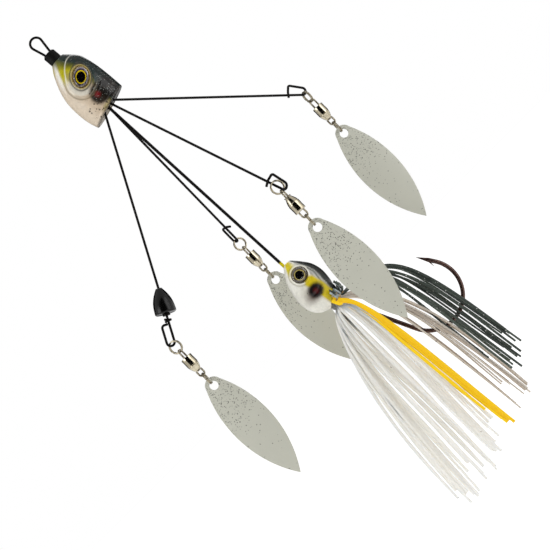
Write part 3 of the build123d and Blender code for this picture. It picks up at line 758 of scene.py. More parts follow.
DARK_SILICONE = Silicone("dark_silicone", srgb(84, 94, 84), srgb(24, 31, 28), srgb(14, 16, 14), 0.14, 0.0, 0.06)


# --------------------------------------------------------------------------- the painted heads
class Airbrush:
    """Colours laid over each other on a surface, each through a mask."""

    def __init__(self, base: Colour, shape: tuple[int, ...]) -> None:
        """Start with one 8-bit display colour all over."""
        self.colour = np.broadcast_to(np.array(srgb(*base)), (*shape, 3)).copy()

    def lay(self, shade: Colour, mask: Array) -> None:
        """Lay an 8-bit display colour through a mask: old * (1 - mask) + new * mask."""
        self.colour += (np.array(srgb(*shade)) - self.colour) * np.clip(mask, 0, 1)[..., None]


@dataclass
class Eye:
    """A stuck-on eye, round or oval: a printed disc in its socket and the clear dome over it."""
    label: str
    centre: tuple[float, float]
    finish: EyePrint
    radius: float
    back: float
    front: float
    rise: float
    columns: int = 64

    def form(self, flank: float, rings: list[tuple[float, float]], name: str) -> Thing:
        """A turned shape about the eye's axis: share * radius * squeeze across, height along Y.

        Args:
            flank: -1 or 1, the side of the head.
            rings: Share of the radius and height off the mid plane for each ring.
            name: Name of the piece.

        Returns:
            The piece.
        """
        angle = circle(self.columns)
        wide, tall = (self.radius * s for s in self.finish.squeeze)
        turn = math.radians(-self.finish.turn)
        across, up = wide * np.cos(angle), tall * np.sin(angle)
        x = across * math.cos(turn) + up * math.sin(turn)
        z = up * math.cos(turn) - across * math.sin(turn)
        rows = [np.stack([self.centre[0] + share * x, np.full_like(x, flank * height), self.centre[1] + share * z], -1)
                for share, height in rings]
        return Skin().grid(np.stack(rows)).build(name, 50)

    def dress(self) -> None:
        """Both flanks' printed discs and domes."""
        low, top = self.back, self.front
        disc = [(0.4, low), (0.97, low), (1.0, low + 0.05), (1.0, top - 0.06), (0.97, top), (0.4, top)]
        swell = np.linspace(0.0, 1.42, 12)
        base = top + 0.03
        dome = [(0.5, base), (0.94, base)]
        dome += [(0.97 * math.cos(t), base + 0.04 + self.rise * math.sin(t)) for t in swell]
        for flank, sign in (("left", -1.0), ("right", 1.0)):
            fit_piece(self.form(sign, disc, f"{self.label}_eye_disc_{flank}"), self.finish.make(), ROOT, "eye_print",
                      f"{self.label}_eye_{flank}")
            fit_piece(self.form(sign, dome, f"{self.label}_eye_dome_{flank}"), LENS.make(), ROOT, "eye_lens",
                      f"{self.label}_eye_lens_{flank}")


@dataclass
class FishHead:
    """What both cast heads have: an eye in a flat-floored socket, and relief raised on the flanks only."""
    eye: tuple[float, float]
    socket: float
    floor: float
    edge: float
    rows: int
    columns: int

    def eye_distance(self, x: Array, z: Array) -> Array:
        """Distance from the eye's centre."""
        return np.hypot(x - self.eye[0], z - self.eye[1])

    def relief(self, x: Array, z: Array) -> Array:
        """Raised and sunken work at a place on the flank, in millimetres."""
        raise NotImplementedError

    def carve(self, breadth: Array, x: Array, z: Array, sine: Array, least: float = 0.0) -> Array:
        """Raise the relief on a plain skin and sink the eye's socket to its floor.

        Args:
            breadth: The plain skin's places off the mid plane.
            x: Its places across.
            z: Its places up.
            sine: Sine of each place's bearing round the head.
            least: Breadth below which no socket is sunk.

        Returns:
            The carved skin's places off the mid plane.
        """
        side = np.sign(breadth)
        carved = breadth + side * self.relief(x, z) * soft(0.15, 0.6, np.abs(sine))
        pit = soft(self.socket + self.edge, self.socket, self.eye_distance(x, z)) * (np.abs(carved) > least)
        return carved + (side * self.floor - carved) * pit


@dataclass
class FrontHead(FishHead):
    """The front head: a fish's head cut square behind, cheeks and gill lines raised on both flanks.

    Worked out in the head's own frame, whose axis is Z, and leant into the row frame at the end.
    """
    eye: tuple[float, float] = (1.1, -18.0)
    socket: float = 3.16
    floor: float = 4.27
    edge: float = 0.16
    rows: int = 190
    columns: int = 320
    lean: float = 4.6
    heights: tuple = (-34.0, -29.0, -24.0, -19.0, -15.0, -12.3, -10.2, -8.3)
    belly: tuple = (-7.1, -8.35, -8.6, -8.0, -6.6, -5.2, -3.9, -2.35)
    back: tuple = (7.3, 7.5, 7.55, 7.35, 6.8, 6.05, 4.6, 3.05)
    breadth: tuple = (5.4, 5.8, 5.9, 5.7, 5.2, 4.5, 3.6, 2.4)
    nose: float = -8.3
    rear: float = -30.5
    rear_slope: float = 0.2
    eye_turn: float = -45.0
    eye_squeeze: tuple[float, float] = (0.88, 1.13)

    def leant(self, across: Array | float, up: Array | float) -> tuple[Array | float, Array | float]:
        """Places in the head's own frame, leant into the row frame: both are turned by the lean about Y."""
        tilt = math.radians(self.lean)
        return across * math.cos(tilt) - up * math.sin(tilt), across * math.sin(tilt) + up * math.cos(tilt)

    def cheek_edge(self, x: Array, z: Array) -> Array:
        """Distance inside the cheek's edge: its radius at that bearing from the eye, less the point's own.

        Args:
            x: Across positions in the head's frame.
            z: Up positions.

        Returns:
            Positive inside the cheek plate, negative outside.
        """
        bearing = np.degrees(np.arctan2(z - self.eye[1], x - self.eye[0])) % 360
        knots = np.array([0, 40, 74, 100, 126, 187, 227, 251, 276, 310, 360.0])
        radii = np.array([6.4, 7.4, 7.7, 6.1, 5.1, 5.9, 6.7, 6.5, 5.8, 5.6, 6.4])
        return flow(knots, radii, bearing) - np.hypot(x - self.eye[0], z - self.eye[1])

    def eye_distance(self, x: Array, z: Array) -> Array:
        """Distance from the eye's centre in the oval measure: each axis over its squeeze."""
        turn = math.radians(-self.eye_turn - self.lean)
        dx, dz = x - self.eye[0], z - self.eye[1]
        along, across = dx * math.sin(turn) + dz * math.cos(turn), dx * math.cos(turn) - dz * math.sin(turn)
        return np.hypot(across / self.eye_squeeze[0], along / self.eye_squeeze[1])

    def jaw_edge(self, x: Array, z: Array) -> Array:
        """Distance behind the jaw line, which runs a little inside the belly's outline."""
        line = flow(np.array([-24.0, -18.0, -14.0, -11.0, -8.3]), np.array([-8.2, -6.3, -4.5, -2.9, -1.2]), z)
        return x - line

    def relief(self, x: Array, z: Array) -> Array:
        """Raised and sunken work: cheek plate, gill ridge, jaw line, eye rim and rear lip, in millimetres."""
        inside = self.cheek_edge(x, z)
        belly_side = soft(5.5, 2.5, x) * soft(-8.9, -11.0, z)
        plate = 0.3 * soft(-0.35, 0.25, inside) * (0.25 + 0.75 * belly_side)
        crease = -0.16 * hairline(inside, -0.55, 0.3) * belly_side
        gill = 0.16 * soft(-0.3, 0.2, inside + 1.35) * soft(-17.0, -21.0, z) * soft(5.0, 1.0, x)
        jaw = 0.22 * hairline(self.jaw_edge(x, z), 0.0, 0.3) * soft(-20.0, -16.0, z)
        radius = self.eye_distance(x, z)
        rim = 0.24 * hairline(radius, 3.5, 0.26) - 0.12 * hairline(radius, 4.15, 0.3)
        behind = z - self.rear - self.rear_slope * x
        lip = 0.14 * soft(0.75, 0.35, behind) - 0.1 * hairline(behind, 1.1, 0.3)
        return plate + crease + gill + jaw + rim + lip

    def paint(self, x: Array, z: Array, y: Array) -> dict[str, Array]:
        """Airbrushed colours, with painted highlight and shade along the cheek edge and its crease, and the weights of
        specks and flakes.

        Args:
            x: Across positions in the head's frame.
            z: Up positions.
            y: Distance off the mid plane.

        Returns:
            The mesh attributes by name.
        """
        brush = Airbrush((212, 197, 176), x.shape)
        flank = soft(1.6, 3.4, y)
        inside = self.cheek_edge(x, z)
        jaw = self.jaw_edge(x, z)
        brush.lay((186, 164, 138), soft(-18, -26, z) * soft(-7.0, -1.0, x) * 0.75)
        brush.lay((238, 235, 228), soft(-1.2, -2.4, jaw) * soft(-27, -20, z) * 0.8)
        brush.lay((238, 236, 228), hairline(jaw, 0.1, 0.75) * soft(-19, -13, z) * 0.95)
        brush.lay((182, 174, 24), soft(0.4, 1.4, jaw) * soft(-18.0, -13.4, z) * soft(4.8, 1.0, x))
        brush.lay((182, 172, 30), hairline(jaw, -1.5, 0.8) * soft(-12.5, -10.0, z) * 0.8)
        brush.lay((204, 198, 184), soft(0.2, 0.9, inside) * soft(-14.6, -17.2, z) * soft(1.4, -1.2, x))
        brush.lay((150, 140, 66), spot(x, z, (-1.6, -15.6), (1.5, 4.0), -14, 0.1) * 0.75)
        brush.lay((122, 112, 44), spot(x, z, (1.6, -20.9), (3.6, 1.6), 8, 0.25) * 0.95)
        brush.lay((90, 82, 44), spot(x, z, (5.2, -19.0), (2.2, 3.6), -10, 0.2) * 0.9)
        edge_x = flow(np.array([-34.0, -29.0, -25.0, -21.5, -17.0, -13.5, -11.0, -8.3]),
                      np.array([2.2, 1.9, 1.5, 3.0, 4.2, 2.3, 0.7, -0.5]), z)
        wide = 1.0 + 1.2 * soft(-16.0, -11.0, z)
        brush.lay((84, 84, 26), soft(edge_x - 1.7 * wide, edge_x - 0.1, x) * 0.9)
        brush.lay((20, 44, 40), soft(edge_x - 0.4 * wide, edge_x + 0.8 * wide, x))
        brush.lay((8, 24, 22), soft(edge_x + 0.3, edge_x + 2.2, x) * 0.95)
        gill = np.maximum(spot(x, z, (1.4, -26.0), (4.6, 4.2), 10, 0.62), spot(x, z, (4.4, -26.6), (4.6, 5.0), 0, 0.5))
        brush.lay((22, 17, 14), gill * flank * soft(-5.0, -2.2, x) * 0.97)
        brush.lay((112, 14, 20), spot(x, z, (0.4, -25.7), (1.6, 1.6), 0, 0.1) * flank * 0.9)
        # Along the raised cheek edge: a pale painted highlight on the nose side and a darker painted shade on the rear
        # side.
        ridge = hairline(inside, 0.12, 0.2)
        brush.lay((226, 222, 206), ridge * soft(4.6, 1.8, x) * soft(-21.5, -19.5, z) * 0.9)
        brush.lay((150, 138, 116), ridge * soft(4.6, 1.8, x) * soft(-19.5, -21.5, z) * 0.5)
        # Darker line in the sunken crease inside the cheek edge: painted shade.
        brush.lay((104, 90, 62), hairline(inside, -0.55, 0.3) * soft(2.5, -0.5, x) * soft(-14, -17, z) * 0.6)
        radius = self.eye_distance(x, z)
        brush.lay((176, 156, 92), hairline(radius, 3.42, 0.24) * 0.9)
        brush.lay((48, 42, 28), hairline(radius, 3.95, 0.26) * 0.85)
        brush.lay((60, 52, 44), soft(3.25, 3.05, radius))
        behind = z - self.rear - self.rear_slope * x
        brush.lay((140, 130, 50), spot(x, z, (-0.6, -30.2), (3.0, 1.3), 8, 0.1) * 0.6)
        brush.lay((52, 44, 34), soft(0.5, 0.2, behind) * 0.55)
        specks = soft(-25.2, -27.4, z) * soft(2.6, 0.0, x) * soft(-7.4, -4.6, x) * 0.5 + 0.3 * gill
        specks = specks + 0.4 * soft(edge_x, edge_x + 1.5, x)
        flakes = soft(edge_x - 0.4, edge_x + 1.5, x) * 0.6 + gill * 0.4
        return {"paint": brush.colour, "specks": specks, "flakes": flakes}

    def build(self) -> Thing:
        """The head's skin: ellipses stacked from nose to the sloping rear face, plus the relief.

        A point at bearing a and depth s is (c + h cos a, b sin a, z), where c, h and b are the centre,
        half depth and half breadth at height z, and z runs from the nose to rear + slope * x.

        Returns:
            The head.
        """
        knots, left = np.array(self.heights), np.array(self.belly)
        right, broad = np.array(self.back), np.array(self.breadth)
        angle = circle(self.columns)[None]
        depth = np.linspace(0, 1, self.rows)[:, None] ** 1.1
        z = self.nose + depth * (self.rear - self.nose) + 0 * angle
        for _ in range(4):
            lo, hi = flow(knots, left, z), flow(knots, right, z)
            x = (lo + hi) / 2 + (hi - lo) / 2 * np.cos(angle)
            z = self.nose + depth * (self.rear + self.rear_slope * x - self.nose)
        sine = np.sin(angle)
        y = flow(knots, broad, z) * squared(sine, 0.86)
        y = self.carve(y, x, z, sine, 2.5)
        skin = np.stack([x, y, z], -1)
        marks = self.paint(x, z, np.abs(y))
        rims, tints = [skin], {name: [value] for name, value in marks.items()}
        # The rear face's rings take the rear edge's paint darkened to 0.8: painted shade on the recessed face.
        for scale, sink in ((0.985, -0.1), (0.95, 0.0), (0.9, 0.22), (0.5, 0.3), (0.12, 0.3)):
            ring = skin[-1:].copy()
            middle = ring.mean(1, keepdims=True)
            ring = middle + (ring - middle) * scale
            ring[..., 2] += sink
            rims.append(ring)
            tints["paint"].append(tints["paint"][0][-1:] * 0.8)
            for name in ("specks", "flakes"):
                tints[name].append(np.zeros(ring.shape[:2]))
        x, y, z = np.moveaxis(np.concatenate(rims), -1, 0)
        across, up = self.leant(x, z)
        leant = np.stack([across, y, up], -1)
        return Skin().grid(leant, **{n: np.concatenate(v) for n, v in tints.items()}).build("front_head_shell", 60)

    def dress(self) -> None:
        """Build the head and its eyes, and set them on the lure."""
        fit_piece(self.build(), HEAD_PAINT.make(), ROOT, "lure_paint", "front_head")
        centre = self.leant(*self.eye)
        rings = ((0.0, srgb(5, 4, 6)), (0.52, srgb(226, 198, 14)), (0.63, srgb(26, 20, 30)), (0.69, srgb(66, 54, 84)),
                 (0.82, srgb(186, 180, 178)), (0.88, srgb(52, 42, 40)), (0.93, srgb(160, 130, 62)))
        finish = EyePrint("front_eye_print", centre, 3.1, rings, self.eye_turn, self.eye_squeeze)
        Eye("front", centre, finish, 3.1, 4.3, 4.75, 0.85).dress()


@dataclass
class JigHead(FishHead):
    """The jig's smaller fish head, its neck running down the hook's shank."""
    eye: tuple[float, float] = (7.2, -111.4)
    socket: float = 2.66
    floor: float = 3.32
    edge: float = 0.14
    rows: int = 170
    columns: int = 280
    heights: tuple = (-105.8, -106.0, -107.0, -108.6, -111.5, -115.0, -118.5, -121.6, -123.6, -124.7, -125.3, -126.4)
    centres: tuple = (6.95, 6.95, 6.9, 6.98, 7.25, 7.28, 7.03, 7.05, 7.75, 8.75, 9.75, 10.4)
    deep: tuple = (0.5, 1.3, 2.35, 3.6, 5.3, 6.22, 6.33, 5.7, 4.55, 3.2, 2.4, 2.12)
    broad: tuple = (0.4, 0.95, 2.1, 3.3, 4.5, 5.2, 5.2, 4.6, 3.7, 2.9, 2.35, 2.12)
    tilts: tuple = (0, 0, 0, 0, 0, 0, 0, 4, 13, 20, 25, 25)

    def relief(self, x: Array, z: Array) -> Array:
        """Raised eye rim and a soft gill plate edge below it, in millimetres."""
        radius = self.eye_distance(x, z)
        rim = 0.22 * hairline(radius, 2.98, 0.26) - 0.1 * hairline(radius, 3.6, 0.3)
        plate = np.hypot(x - 6.4, (z + 112.6) * 0.92) - 6.1
        gill = -0.14 * hairline(plate, 0.0, 0.35) * soft(-113.0, -115.5, z)
        return rim + gill

    def paint(self, x: Array, z: Array, y: Array, back: Array) -> dict[str, Array]:
        """Airbrushed colours and the weights of specks and flakes.

        Args:
            x: Across positions.
            z: Up positions.
            y: Distance off the mid plane.
            back: How far a point lies round towards the back, from -1 to 1.

        Returns:
            The mesh attributes by name.
        """
        brush = Airbrush((228, 226, 216), x.shape)
        flank = soft(0.6, 1.8, y)
        brush.lay((196, 192, 178), spot(x, z, (6.4, -116.6), (7.5, 5.4), 20, 0.1) * 0.7)
        brush.lay((206, 202, 198), soft(-0.2, 0.3, back) * soft(-107, -112, z) * 0.7)
        streaks = 0.5 + 0.5 * np.sin(34 * back + 1.4 * np.sin(0.9 * z))
        brush.lay((86, 92, 84), soft(0.3, 0.6, back) * soft(-106.5, -109.5, z) * (0.35 + 0.55 * streaks))
        brush.lay((34, 40, 36), soft(0.62, 0.8, back))
        brush.lay((12, 14, 15), soft(0.78, 0.9, back))
        nose = soft(3.1, 0.9, np.abs(x - 6.0 - (z + 106) * 0.15)) * soft(-112.0, -109.0, z) * soft(0.62, 0.4, back)
        brush.lay((214, 196, 34), nose * soft(-0.75, -0.5, back))
        radius = self.eye_distance(x, z)
        brush.lay((196, 184, 40), spot(x, z, (7.6, -115.1), (2.1, 2.1), 0, 0.35) * flank)
        brush.lay((238, 235, 222), hairline(radius, 3.0, 0.24) * 0.9)
        brush.lay((120, 110, 60), hairline(radius, 3.55, 0.22) * soft(8.6, 5.8, x) * 0.45)
        brush.lay((70, 56, 34), soft(2.75, 2.6, radius))
        shade = spot(x, z, (6.4, -118.9), (5.6, 3.6), 16, 0.1)
        brush.lay((78, 56, 44), shade * flank * 0.9)
        stripe = band(x, z, [(8.3, -115.2), (9.2, -118.6), (9.4, -121.4), (9.9, -124.6), (10.6, -127.0)], 1.3, 1.0)
        brush.lay((206, 184, 22), stripe * flank)
        gill = spot(x, z, (7.5, -118.5), (3.5, 3.2), 0, 0.5)
        brush.lay((16, 10, 9), gill * flank)
        brush.lay((84, 8, 12), spot(x, z, (7.4, -118.6), (1.5, 1.5), 0, 0.05) * flank * 0.85)
        specks = gill * 0.5 + soft(0.5, 0.85, back) * 0.3
        return {"paint": brush.colour, "specks": specks, "flakes": soft(0.4, 0.6, back) * soft(0.9, 0.8, back) * 0.3}

    def build(self) -> Thing:
        """The jig head's skin: ellipses carried down the body and turned into the neck, plus the relief.

        A point at bearing a is centre + h cos a along the tilted across direction + b sin a along Y.

        Returns:
            The head.
        """
        knots = np.arange(len(self.heights), dtype=float)
        at = np.linspace(0, len(self.heights) - 1, self.rows)
        height, centre, deep, broad, tilt = (flow(knots, np.array(v, float), at)[:, None] for v in (
            self.heights, self.centres, self.deep, self.broad, self.tilts))
        angle = circle(self.columns)[None]
        tilt = np.radians(tilt)
        x = centre + deep * np.cos(angle) * np.cos(tilt)
        z = height + deep * np.cos(angle) * np.sin(tilt)
        sine = np.sin(angle)
        y = broad * squared(sine, 0.88)
        y = self.carve(y, x, z, sine)
        marks = self.paint(x, z, np.abs(y), np.cos(angle) + 0 * z)
        return Skin().grid(np.stack([x, y, z], -1), **marks).build("jig_head_shell", 60)

    def dress(self) -> None:
        """Build the jig head and its eyes, and set them on the lure."""
        fit_piece(self.build(), JIG_PAINT.make(), ROOT, "jig_paint", "jig_head")
        rings = ((0.0, srgb(5, 4, 5)), (0.57, srgb(206, 190, 110)), (0.65, srgb(94, 80, 54)), (0.78, srgb(62, 52, 36)),
                 (0.93, srgb(96, 84, 60)))
        finish = EyePrint("jig_eye_print", self.eye, 2.6, rings, foil=0.0)
        Eye("jig", self.eye, finish, 2.6, 3.35, 3.8, 0.6).dress()


# --------------------------------------------------------------------------- hardware
@dataclass
class Chain:
    """What hangs from one arm: split rings, the ball-bearing swivel and the willow blade."""
    arm: str
    ring_radius: float = 2.1
    ring_half: float = 0.25
    turn_half: float = 0.19
    turn_shift: float = 0.2
    barrel_radius: float = 1.95
    barrel_length: float = 5.6
    taper: float = 2.2
    neck: float = 1.05
    cup: float = 1.44
    half_width: float = 6.7
    below_hole: float = 38.54
    widest: float = 17.6
    boss: float = 2.86
    hole: float = 1.45
    hole_drop: float = 1.04
    blade_half: float = 0.25
    blade_cup: float = 32.0

    def ring(self, which: str) -> Thing:
        """A split ring: flat wire wound two turns, shifting from one layer to the next once.

        The centre line at angle a is radius * (cos a, sin a) across the axis, and its place along the
        axis steps smoothly from the first layer to the second about a = one full turn.

        Args:
            which: upper or lower.

        Returns:
            The ring.
        """
        centre = centre_of(f"{which}_ring_{self.arm}")
        _, axis = joint(f"{which}_ring_swing_{self.arm}")
        across = unit(np.cross(axis, UP))
        start = math.radians(200 if which == "upper" else 120)
        turn = np.linspace(0.03, 4 * np.pi - 0.03, 170)
        layer = self.turn_shift * (2 * soft(2 * np.pi - 0.28, 2 * np.pi + 0.28, turn) - 1)
        a = (turn + start)[:, None]
        path = centre + self.ring_radius * (np.cos(a) * across + np.sin(a) * UP)
        path = path + layer[:, None] * axis
        section = tube(path, self.turn_half, self.ring_half, axis, 12, 0.7)
        return Skin().grid(section).build(f"{which}_ring_coil_{self.arm}", 70)

    def barrel(self) -> Thing:
        """The swivel's barrel: a turned profile spun about its axis, with a rolled lip and a score line.

        Returns:
            The barrel, its bore closed as one skin.
        """
        centre = centre_of(f"swivel_barrel_{self.arm}")
        r, n, length = self.barrel_radius, self.neck, self.barrel_length
        shoulder = length - self.taper
        lip = [(self.cup, 0.5), (self.cup, 0.06), (self.cup + 0.06, 0.0), (r - 0.2, 0.0), (r - 0.06, 0.06)]
        wall = [(r, 0.2), (r - 0.03, 1.1), (r, 2.4), (r, shoulder - 0.35), (r - 0.03, shoulder - 0.12)]
        score = [(r - 0.16, shoulder - 0.04), (r - 0.14, shoulder + 0.08), (r - 0.05, shoulder + 0.14),
                 (r - 0.12, shoulder + 0.3)]
        nose = [(r * 0.78, shoulder + 1.2), (n + 0.06, length - 0.15), (n, length - 0.02), (n - 0.1, length)]
        bore = [(0.62, length), (0.56, length - 0.1), (0.56, length - 1.2), (1.5, length - 2.5), (1.55, 1.0),
                (0.8, 0.95), (0.8, 0.6), (1.3, 0.56)]
        profile = np.array(lip + wall + score + nose + bore)
        angle = circle(56)
        sign = 1.0 if self.arm == UPTURNED else -1.0
        height = sign * (profile[:, 1] - length / 2)
        points = np.stack([profile[:, :1] * np.cos(angle), profile[:, :1] * np.sin(angle),
                           np.repeat(height[:, None], len(angle), 1)], -1) + centre
        return Skin().grid(points, loop=True).build(f"swivel_shell_{self.arm}", 40)

    def blade(self) -> Thing:
        """The willow-leaf blade: a cupped plate between its round hole and its leaf outline.

        The outline is two arcs meeting at the tip and a round head about the hole. A point a share q of
        the way from hole to outline lies on the straight ray between them; the plate bends back by
        R - sqrt(R^2 - x^2) across its width, and the section goes round both rims.

        Returns:
            The blade.
        """
        pivot, _ = joint(f"blade_swing_{self.arm}")
        _, axis = joint(f"lower_ring_swing_{self.arm}")
        across = axis if axis[0] > 0 else -axis
        front = np.cross(UP, across)
        seat = math.radians(12)
        ends = np.array([[0, -self.below_hole], [self.half_width, -self.widest],
                         [self.boss * math.cos(seat), self.boss * math.sin(seat)]])
        (ax, ay), (bx, by), (cx, cy) = ends
        d = 2 * (ax * (by - cy) + bx * (cy - ay) + cx * (ay - by))
        squares = (ends ** 2).sum(1)
        ox = (squares[0] * (by - cy) + squares[1] * (cy - ay) + squares[2] * (ay - by)) / d
        oy = (squares[0] * (cx - bx) + squares[1] * (ax - cx) + squares[2] * (bx - ax)) / d
        reach = math.hypot(ax - ox, ay - oy)
        low = math.atan2(ay - oy, ax - ox)
        high = math.atan2(cy - oy, cx - ox)
        side = np.linspace(low, high, 130)
        right = np.stack([ox + reach * np.cos(side), oy + reach * np.sin(side)], -1)
        top = np.linspace(seat, np.pi - seat, 42)[1:-1]
        head = self.boss * np.stack([np.cos(top), np.sin(top)], -1)
        left = right[::-1] * [-1, 1]
        rim = np.concatenate([right, head, left[:-1]])
        bearing = np.arctan2(rim[:, 1], rim[:, 0])
        inner = self.hole * np.stack([np.cos(bearing), np.sin(bearing)], -1)
        share = np.linspace(0, 1, 22) ** 1.4
        turn = np.linspace(-np.pi / 2, np.pi / 2, 9)[1:-1]
        b = self.blade_half
        depth, shrink = b * np.sin(turn), b * (np.cos(turn) - 1) * 0.5
        rows = [(q, -b, 0.0) for q in share] + [(1.0, *edge) for edge in zip(depth, shrink)]
        rows += [(q, b, 0.0) for q in share[::-1]] + [(0.0, *edge) for edge in zip(depth[::-1], -shrink[::-1])]
        local = np.stack([self.plate_row(inner, rim, *row) for row in rows])
        bend = self.blade_cup - np.sqrt(self.blade_cup ** 2 - local[..., 0] ** 2)
        middle = pivot - [0, 0, self.hole_drop]
        points = middle + local[..., :1] * across + local[..., 1:2] * UP + (local[..., 2:] + bend[..., None]) * front
        away = np.hypot(local[..., 0] + 1.2, local[..., 1] + 4.0)
        return Skin().grid(points, loop=True, near_hole=soft(17.0, 1.0, away)).build(f"willow_blade_{self.arm}", 60)

    @staticmethod
    def plate_row(inner: Array, rim: Array, share: float, depth: float, grow: float) -> Array:
        """One ring of the plate, a share of the way out, at a depth, moved outwards by grow."""
        reach = np.linalg.norm(rim - inner, axis=1, keepdims=True)
        flat = inner + (rim - inner) * (share + grow / reach)
        return np.concatenate([flat, np.full((len(flat), 1), depth)], 1)

    def dress(self) -> None:
        """Build the chain's pieces and set each on its body."""
        arm = self.arm
        # Rings and swivel eyes take the darker copy of the plated metal: painted shade.
        steel = RING_STEEL_SHADED.make()
        for which in ("upper", "lower"):
            fit_piece(self.ring(which), steel, f"{which}_ring_{arm}", "nickel", f"{which}_ring_{arm}")
        fit_piece(self.barrel(), NICKEL.make(), f"barrel_{arm}", "nickel", f"swivel_barrel_{arm}")
        for which in ("top", "bottom"):
            node = f"swivel_{which}_eye_{arm}"
            fit_piece(smooth_copy(node), steel, f"{which}_eye_{arm}", "nickel", node)
        balls = f"swivel_balls_{arm}"
        fit_piece(smooth_copy(balls), BALL_STEEL.make(), f"barrel_{arm}", "ball_steel", balls)
        fit_piece(self.blade(), BLADE_PEARL.make(), f"blade_{arm}", "blade_pearl", f"blade_{arm}")


# --------------------------------------------------------------------------- skirt
COLLAR = np.array([9.46, 0.0, -124.2])
SHANK_LEAN = math.radians(25.0)
SHANK = np.array([math.sin(SHANK_LEAN), 0.0, -math.cos(SHANK_LEAN)])
SHANK_BACK = np.array([math.cos(SHANK_LEAN), 0.0, math.sin(SHANK_LEAN)])
STRAND_SIDES = 8        # points round a strand
STRAND_SQUARE = 0.6     # how square its section is, as a superellipse power
LOWEST_TIP, HIGHEST_TIP = -201.6, -160.0


def round_collar(bearing: Array | float) -> Array:
    """Directions straight out from the shank, at bearings in radians from its back."""
    turn = np.asarray(bearing)[..., None]
    return np.cos(turn) * SHANK_BACK + np.sin(turn) * np.array([0, 1.0, 0])


def add_strand(skin: Skin, path: Array, width: Array | float, depth: float, facing: Array, own: float) -> None:
    """Add one flat rounded strand to a skin, marked with its own tint and its places along and across.

    Args:
        skin: The skin that gathers the strands.
        path: Points of its centre line.
        width: Half width, one number or one for each point.
        depth: Half thickness.
        facing: Direction of its width, one vector or one for each point.
        own: Its own place between the finish's two tints, from 0 to 1.
    """
    rings = tube(path, width, depth, facing, STRAND_SIDES, STRAND_SQUARE)
    shape = rings.shape[:2]
    skin.grid(rings, own=np.full(shape, own), along=np.broadcast_to(np.linspace(0, 1, len(path))[:, None], shape),
              across=np.broadcast_to(np.cos(circle(STRAND_SIDES)), shape))


@dataclass
class Bunch:
    """One colour of silicone strands, from the collar to their cut tips.

    The widths, the wave and the twist (radians, its random spread) shape a strand; the band is its run along
    the collar; handle and fall are the pulls of its curve's two ends; spread and flare are how level they set
    off and end; stub is how far its butt may stand up past the collar; cling is how far its flat side turns to
    face along the bunch.
    """
    name: str
    slot: str
    finish: Silicone
    tips: Callable[[np.random.Generator], tuple[Array, Array]]
    seed: int
    handle: float = 11.0
    spread: float = 0.6
    fall: float = 30.0
    flare: float = 0.05
    half_width: float = 0.62
    half_depth: float = 0.2
    steps: int = 46
    wave: float = 0.5
    stub: float = 0.9
    twist: float = 0.5
    cling: float = 0.94
    band_steps: int = 4
    band_radius: float = 3.15
    band_length: float = 2.5

    def curves(self, rng: np.random.Generator) -> tuple[Array, Array]:
        """Centre lines and starting side directions of all the strands.

        Each strand lies on the collar for its band's length, then follows a cubic Bezier curve: it leaves
        between the shank's direction and the level direction of its tip, and ends hanging. A slow sine wave
        across it grows towards the tip.

        Args:
            rng: Seeded random numbers.

        Returns:
            Points of shape strands, steps, 3 and side vectors of shape strands, 3.
        """
        bearing, tips = self.tips(rng)
        out = round_collar(bearing)
        root = COLLAR + out * self.band_radius
        count = len(tips)
        start = root + SHANK * (0.15 - self.stub * rng.random(count)[:, None])
        leave = root + SHANK * self.band_length
        level = tips - leave
        level[:, 2] = 0
        away = unit(SHANK * (1 - self.spread) + unit(level) * self.spread + out * 0.25)
        stretch = np.linalg.norm(level, axis=1, keepdims=True)
        p1 = leave + away * (self.handle * (0.6 + 0.022 * stretch))
        hang = unit(unit(level) * self.flare - UP)
        p2 = tips - hang * self.fall
        t = np.linspace(0, 1, self.steps - self.band_steps)[None, :, None]
        curve = (1 - t) ** 3 * leave[:, None] + 3 * (1 - t) ** 2 * t * p1[:, None] \
            + 3 * (1 - t) * t ** 2 * p2[:, None] + t ** 3 * tips[:, None]
        head = start[:, None] + (leave - start)[:, None] * np.linspace(0, 0.86, self.band_steps)[None, :, None]
        path = np.concatenate([head, curve], 1)
        s = np.linspace(0, 1, self.steps)[None]
        phase = rng.uniform(0, 2 * np.pi, (count, 2))
        sway = self.wave * rng.uniform(0.4, 1.0, (count, 1)) * soft(0.2, 1.0, s)
        path[..., 0] += sway * np.sin(s * 6.5 + phase[:, :1])
        path[..., 1] += sway * np.sin(s * 5.3 + phase[:, 1:])
        return path, unit(np.cross(SHANK, out))

    def build(self) -> Thing:
        """All the strands of this colour as one piece: a flat rounded section along every centre line.

        Returns:
            The bunch.
        """
        rng = np.random.default_rng(self.seed)
        paths, sides = self.curves(rng)
        skin = Skin()
        s = np.linspace(0, 1, self.steps)
        for path, side in zip(paths, sides):
            own, turn = rng.random(), rng.normal(0, self.twist)
            wide = self.half_width * rng.uniform(0.82, 1.12) * (1 - 0.12 * soft(0.8, 1.0, s))
            run = unit(path[-1] - path[0])
            level = unit(np.cross([0.0, 1.0, 0.0], run))
            level = level * (1.0 if level @ side >= 0 else -1.0)
            share = (self.cling * soft(0.02, 0.22, s))[:, None]
            flat = unit(side * (1 - share) + level * share)
            spin = (turn * soft(0.15, 1.0, s))[:, None]
            facing = flat * np.cos(spin) + np.cross(run, flat) * np.sin(spin)
            add_strand(skin, path, wide, self.half_depth, facing, own)
        return skin.build(self.name + "_strands", 70)

    def dress(self) -> None:
        """Build the bunch and let it stand for its plain CAD lobe."""
        fit_piece(self.build(), self.finish.make(), ROOT, self.slot, self.name)


